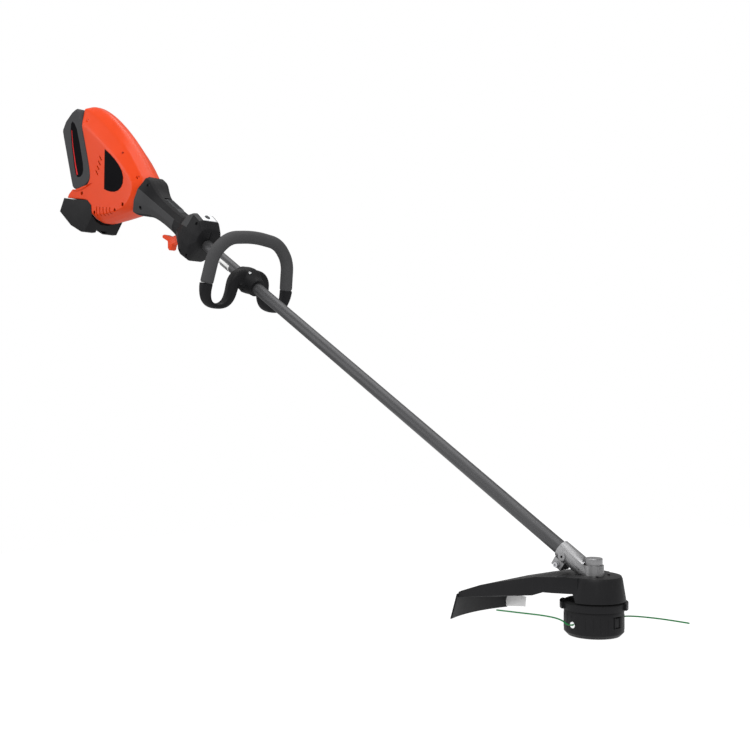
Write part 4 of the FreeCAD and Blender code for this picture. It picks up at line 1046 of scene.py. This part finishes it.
# ---------------------------------------------------------------- loop handle
@dataclass
class LoopGrip:
    """Soft sleeve round the loop's bar."""

    half: float = 109.0
    top: float = 92.0
    radius: float = 13.6
    share: tuple[Flat, ...] = ((0.0, 0.0), (0.62, -7.0), (0.93, -42.0), (1.0, -105.0))

    def path(self) -> list[Point]:
        """Rounded course of the bar, corners turned as tangent arcs."""
        right = [Vector((0.0, self.half * part, self.top + drop)) for part, drop in self.share]
        left = [Vector((0.0, -spot.y, spot.z)) for spot in right[:0:-1]]
        knots = left + [Vector((0.0, 0.0, self.top + 1.0))] + right[1:]
        course = [knots[0]]
        for before, corner, after in zip(knots, knots[1:], knots[2:]):
            reach = 0.45 * min((before - corner).length, (after - corner).length)
            start = corner + (before - corner).normalized() * reach
            end = corner + (after - corner).normalized() * reach
            for step in range(13):
                part = step / 12
                course.append(start.lerp(corner, part).lerp(corner.lerp(end, part), part))
        course.append(knots[-1])
        return [tuple(spot) for spot in course]

    def build(self, frame: dict) -> None:
        """Grow the sleeve along the bar."""
        sleeve = grown(seed("loop_grip_sleeve", self.path(), edges=True), "path_sleeve", SOFT, LOOP,
                       radius=self.radius * MM, rounding=0.12)
        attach(smooth(sleeve, 50.0), "loop")
        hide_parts("loop_grip")


@dataclass
class LoopCasting:
    """Moulded base of the loop: a leg and foot on either side of the clamp."""

    lean: float = 19.5
    bore: float = 12.08
    course: tuple[tuple[float, float, float, float], ...] = (
        (109.6, -13.2, 13.4, 13.2), (110.0, -28.0, 12.6, 11.8), (106.0, -45.0, 11.2, 11.0),
        (95.0, -56.5, 7.6, 11.0), (80.0, -58.8, 5.6, 11.0), (66.0, -58.0, 6.2, 11.0),
                                                             (53.0, -51.0, 10.0, 11.0),
        (45.0, -38.0, 13.2, 11.0), (42.5, -20.0, 13.6, 11.5), (40.5, -3.0, 15.5, 13.0),
                                                             (32.0, 5.0, 18.5, 15.0),
        (18.0, 5.0, 20.5, 17.0))

    def rings(self) -> list[list[Point]]:
        """Rounded sections along the whole course, from one grip end to the other."""
        right = list(self.course)
        whole = right + [(0.0, 5.0, 21.0, 18.0)] + [(-y, z, wide, deep) for y, z, wide,
                                                    deep in reversed(right)]
        rings = []
        for k, (y, z, wide, deep) in enumerate(whole):
            before, after = whole[max(k - 1, 0)], whole[min(k + 1, len(whole) - 1)]
            ahead = Vector((after[0] - before[0], after[1] - before[1])).normalized()
            across = Vector((-ahead.y, ahead.x))
            ring = []
            for step in range(12):
                turn = math.tau * step / 12
                side = math.copysign(abs(math.cos(turn)) ** 0.75, math.cos(turn)) * wide
                out = math.copysign(abs(math.sin(turn)) ** 0.75, math.sin(turn)) * deep
                ring.append((out, y + across.x * side, z + across.y * side))
            rings.append(ring)
        return rings

    def barrel(self) -> list[list[Point]]:
        """Turned body of the clamp round the tube."""
        shape = ((-34, 16), (-34, 19), (-31, 19.6), (-20, 22), (-12, 27), (-3, 29.5), (7, 28.5), (17, 25),
                 (27, 20),
                 (30, 19), (30, 16))
        turns = [math.tau * k / 24 for k in range(24)]
        return [[(x, r * math.cos(turn), r * math.sin(turn)) for turn in turns] for x, r in shape]

    def build(self, frame: dict) -> None:
        """Join the legs and the clamp, then cut the tube's way and the cap's room."""
        level = LOOP @ tilt(-self.lean)
        legs = lofted("loop_frame_casting", self.rings(), LOOP, {0: 0.9, 24: 0.9}, {}, levels=2)
        body = lofted("clamp_barrel", self.barrel(), level, {1: 0.8, 9: 0.8}, {}, levels=2)
        join = legs.modifiers.new("join", "BOOLEAN")
        join.object = body
        join.operation = "UNION"
        join.solver = "EXACT"
        legs = finished(legs)
        bpy.data.objects.remove(body)
        room = cutter("cap_room", ((-70, -22, -80), (70, 22, -1)), level, 0.0)
        way = drill([(-80, 0, 0)], (1, 0, 0), self.bore, level, 160.0)
        legs = carve(legs, [room, *way])
        dress(smooth(legs, 36.0), BLACK)
        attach(legs, "loop")
        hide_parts("loop_frame")
        glint = dress(bevelled(drill([(-12, 15, 22.4)], (0, 0, 1), 3.6, level, 3.4)[0], 0.5), CHROME)
        glint.name = "clamp_top_nut"
        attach(glint, "loop")


# ---------------------------------------------------------------- battery
@dataclass
class BatteryPack:
    """Battery case with rounded rims and recessed windows."""

    gap: float = 0.8
    long: float = 203.0
    thick: float = 85.0
    half: float = 43.5
    window: tuple[Flat, ...] = (
        (32, -42), (34, -33), (42, -26), (60, -22.5), (110, -21), (152, -22), (170, -27), (179, -34),
                                (176, -42),
        (160, -49), (120, -56), (70, -60.5), (46, -60.5), (36, -54))
    stripe: tuple[Flat, ...] = ((43, -57.5), (43, -52.0), (70, -52.5), (120, -50.0), (160, -43.5),
                                (160, -45.5),
                                (120, -53.0), (70, -57.0))

    def outline(self) -> list[Flat]:
        """Side outline of the case."""
        gap, long, thick = self.gap, self.long, self.thick
        return [(gap + 22, -gap), (long - 10, -gap), (long, -gap - 10), (long, -30), (long - 8, -62),
                (long - 24, -thick), (gap + 20.5, -thick), (gap + 7.5, -66), (gap, -35), (gap + 5, -gap - 8)]

    def build(self, frame: dict) -> None:
        """Make the case in place of the plain one."""
        full = self.outline()
        inner = inset(full[::-1], 3.2)[::-1]
        rows = [(-self.half, inset(full[::-1], 5.0)[::-1]), (-self.half, inner), (-self.half + 5, full),
                (-12, full),
                (12, full), (self.half - 5, full), (self.half, inner),
                (self.half, inset(full[::-1], 5.0)[::-1])]
        rings = [[(x, y, z) for x, z in outline] for y, outline in rows]
        case = lofted("battery_case_shell", rings, BATTERY, {1: 0.6, 2: 0.6, 5: 0.6, 6: 0.6},
                      dict.fromkeys(range(10), 0.75))
        tools = [both_sides("recess", self.window, self.half - 1.3, self.half + 4.0, BATTERY)]
        for y in (-24, 24):
            tools.append(cutter("groove", ((-9, y - 2.6, -7), (172, y + 2.6, 4)), BATTERY, 0.0))
            tools.append(cutter("groove_wide", ((-9, y - 5.6, -6.6), (172, y + 5.6, -2.4)), BATTERY, 0.0))
        tools.append(cutter("latch_well", ((165, -17.4, -90), (187.8, 17.4, -76)), BATTERY, 0.0))
        case = carve(case, tools)
        dress(smooth(case, 30.0), BATTERY_GREY)
        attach(case, "battery")
        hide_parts("battery_case")
        panes = dress(both_sides("battery_panes", self.window, self.half - 1.4, self.half - 0.7, BATTERY),
                      WINDOW)
        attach(panes, "battery")
        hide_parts("battery_windows")
        stripe = dress(both_sides("battery_stripe", self.stripe, self.half - 0.75, self.half - 0.45, BATTERY),
                       STRIPE)
        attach(stripe, "battery")


# ---------------------------------------------------------------- cutting line
@dataclass
class CuttingLine:
    """The two free ends of the line."""

    thick: float = 2.4
    routes: tuple[tuple[str, float, tuple[Point, ...]], ...] = (
        ("line_end_front", 0.150, ((-8.8, -45.2, 22.0), (-11.1, -57.0, 22.0), (-18.0, -64.0, 32.0),
                                   (-45.0, -68.3, 34.8), (-94.5, -70.0, 33.0), (-142.8, -64.0, 29.9))),
        ("line_end_rear", 0.136,
         ((8.8, 45.2, 22.0), (11.1, 57.0, 22.0), (22.0, 62.0, 24.4), (46.0, 65.0, 26.2),
                                  (91.0, 65.0, 27.9), (134.1, 56.0, 29.4))))

    def build(self, frame: dict) -> None:
        """Make both ends as smooth curves."""
        for name, length, route in self.routes:
            points = [Vector(spot) * MM for spot in route]
            curve = bpy.data.curves.new(f"{name}_cord", "CURVE")
            curve.dimensions = "3D"
            spline = curve.splines.new("NURBS")
            spline.points.add(len(points) - 1)
            for knot, point in zip(spline.points, points):
                knot.co = (*point, 1.0)
            spline.order_u = 3
            spline.use_endpoint_u = True
            curve.bevel_depth = self.thick * MM / 2
            curve.bevel_resolution = 4
            curve.resolution_u = 16
            curve.use_fill_caps = True
            cord = dress(added(f"{name}_cord", curve), LINE)
            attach(cord, "head")
            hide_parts(name)


# ---------------------------------------------------------------- studio
@dataclass
class Studio:
    """Camera, floor and soft lights."""

    camera_place: Point = (0.940, -1.511, 0.381)
    azimuth: float = 43.1
    pitch: float = 1.0
    lens: float = 52.8
    ambient: float = 0.42
    lamps: float = 0.9

    def build(self) -> None:
        """Make the camera, the floor and the lights."""
        data = bpy.data.cameras.new("camera")
        data.lens = self.lens
        data.sensor_width = 36.0
        camera = added("camera", data)
        camera.location = self.camera_place
        camera.rotation_euler = (math.radians(90.0 + self.pitch), 0.0, math.radians(self.azimuth))
        bpy.context.scene.camera = camera
        reach = 1.5
        floor = added("floor", bpy.data.meshes.new("floor"))
        floor.data.from_pydata([(-reach, -reach, 0), (reach, -reach, 0), (reach, reach, 0),
                                (-reach, reach, 0)],
                               [], [[0, 1, 2, 3]])
        dress(floor, FLOOR)
        world = bpy.data.worlds.new("studio")
        world.use_nodes = True
        sheet = Sheet(world.node_tree)
        soft, bright = world.node_tree.nodes["Background"], sheet.add("ShaderNodeBackground")
        soft.inputs["Color"].default_value = bright.inputs["Color"].default_value = (1.0, 1.0, 1.0, 1.0)
        soft.inputs["Strength"].default_value = self.ambient
        either = sheet.add("ShaderNodeMixShader")
        sheet.link(sheet.add("ShaderNodeLightPath").outputs["Is Camera Ray"], either.inputs[0])
        sheet.link(soft.outputs[0], either.inputs[1])
        sheet.link(bright.outputs[0], either.inputs[2])
        sheet.link(either.outputs[0], world.node_tree.nodes["World Output"].inputs["Surface"])
        bpy.context.scene.world = world
        bpy.context.scene.view_settings.view_transform = "Standard"
        for name, place, size, power in (("key", (1.6, -2.2, 3.0), 1.8, 90.0),
                                         ("fill", (-2.6, -2.4, 1.8), 2.4, 40.0),
                                         ("top", (-0.8, 0.4, 3.4), 2.6, 60.0)):
            lamp = bpy.data.lights.new(name, "AREA")
            lamp.size = size
            lamp.energy = power * self.lamps
            light = added(name, lamp)
            light.location = place
            aim = Vector((-0.6, 0.0, 0.5)) - Vector(place)
            light.rotation_euler = aim.to_track_quat("-Z", "Y").to_euler()


def main() -> None:
    """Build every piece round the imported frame."""
    logging.basicConfig(level=logging.INFO, format="%(name)s: %(message)s")
    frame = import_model()
    Studio().build()
    CuttingLine().build(frame)
    for refit in REFITS:
        refit.apply(frame)
    for screws in (
            # The housing screws take the darker orange finish, which paints the shade inside the screw pits.
            ScrewSet("housing_screws", "frame", REAR, (0, 1, 0),
                     tuple((x, y - 4.6, z) for x, z, y in HOUSING_SPOTS),
                     (2.6, 2.0), (1.6, 2.4), RECESS_SHADE_ORANGE),
            ScrewSet("handle_screws", "frame", POD, (0, 1, 0),
                     tuple((x, y - 3.4, z) for x, z, y in HANDLE_SPOTS),
                     (2.35, 1.6), (1.5, 2.4)),
            ScrewSet("guard_screws", "frame", HEAD, (0, 0, -1), FLANGE_SPOTS, (3.6, 3.0), (2.0, 7.0)),
            ScrewSet("clamp_bolts", "loop", LOOP @ tilt(-19.5), (0, 0, -1), CLAMP_SPOTS, (4.2, 4.0),
                     (2.5, 28.5)),
            ScrewSet("collar_bolts", "frame", SHAFT, (0, 1, 0), ((58.7, 13.0, -21.2),), (4.2, 4.5),
                     (2.5, 26.0),
                     STEEL, "bright_steel")):
        screws.build(frame)
    add_rows()
    add_rings()
    add_winding()
    LoopGrip().build(frame)
    LoopCasting().build(frame)
    PowerHousing().build(frame)
    RearHandle().build(frame)
    BatteryPack().build(frame)


if __name__ == "__main__":
    main()
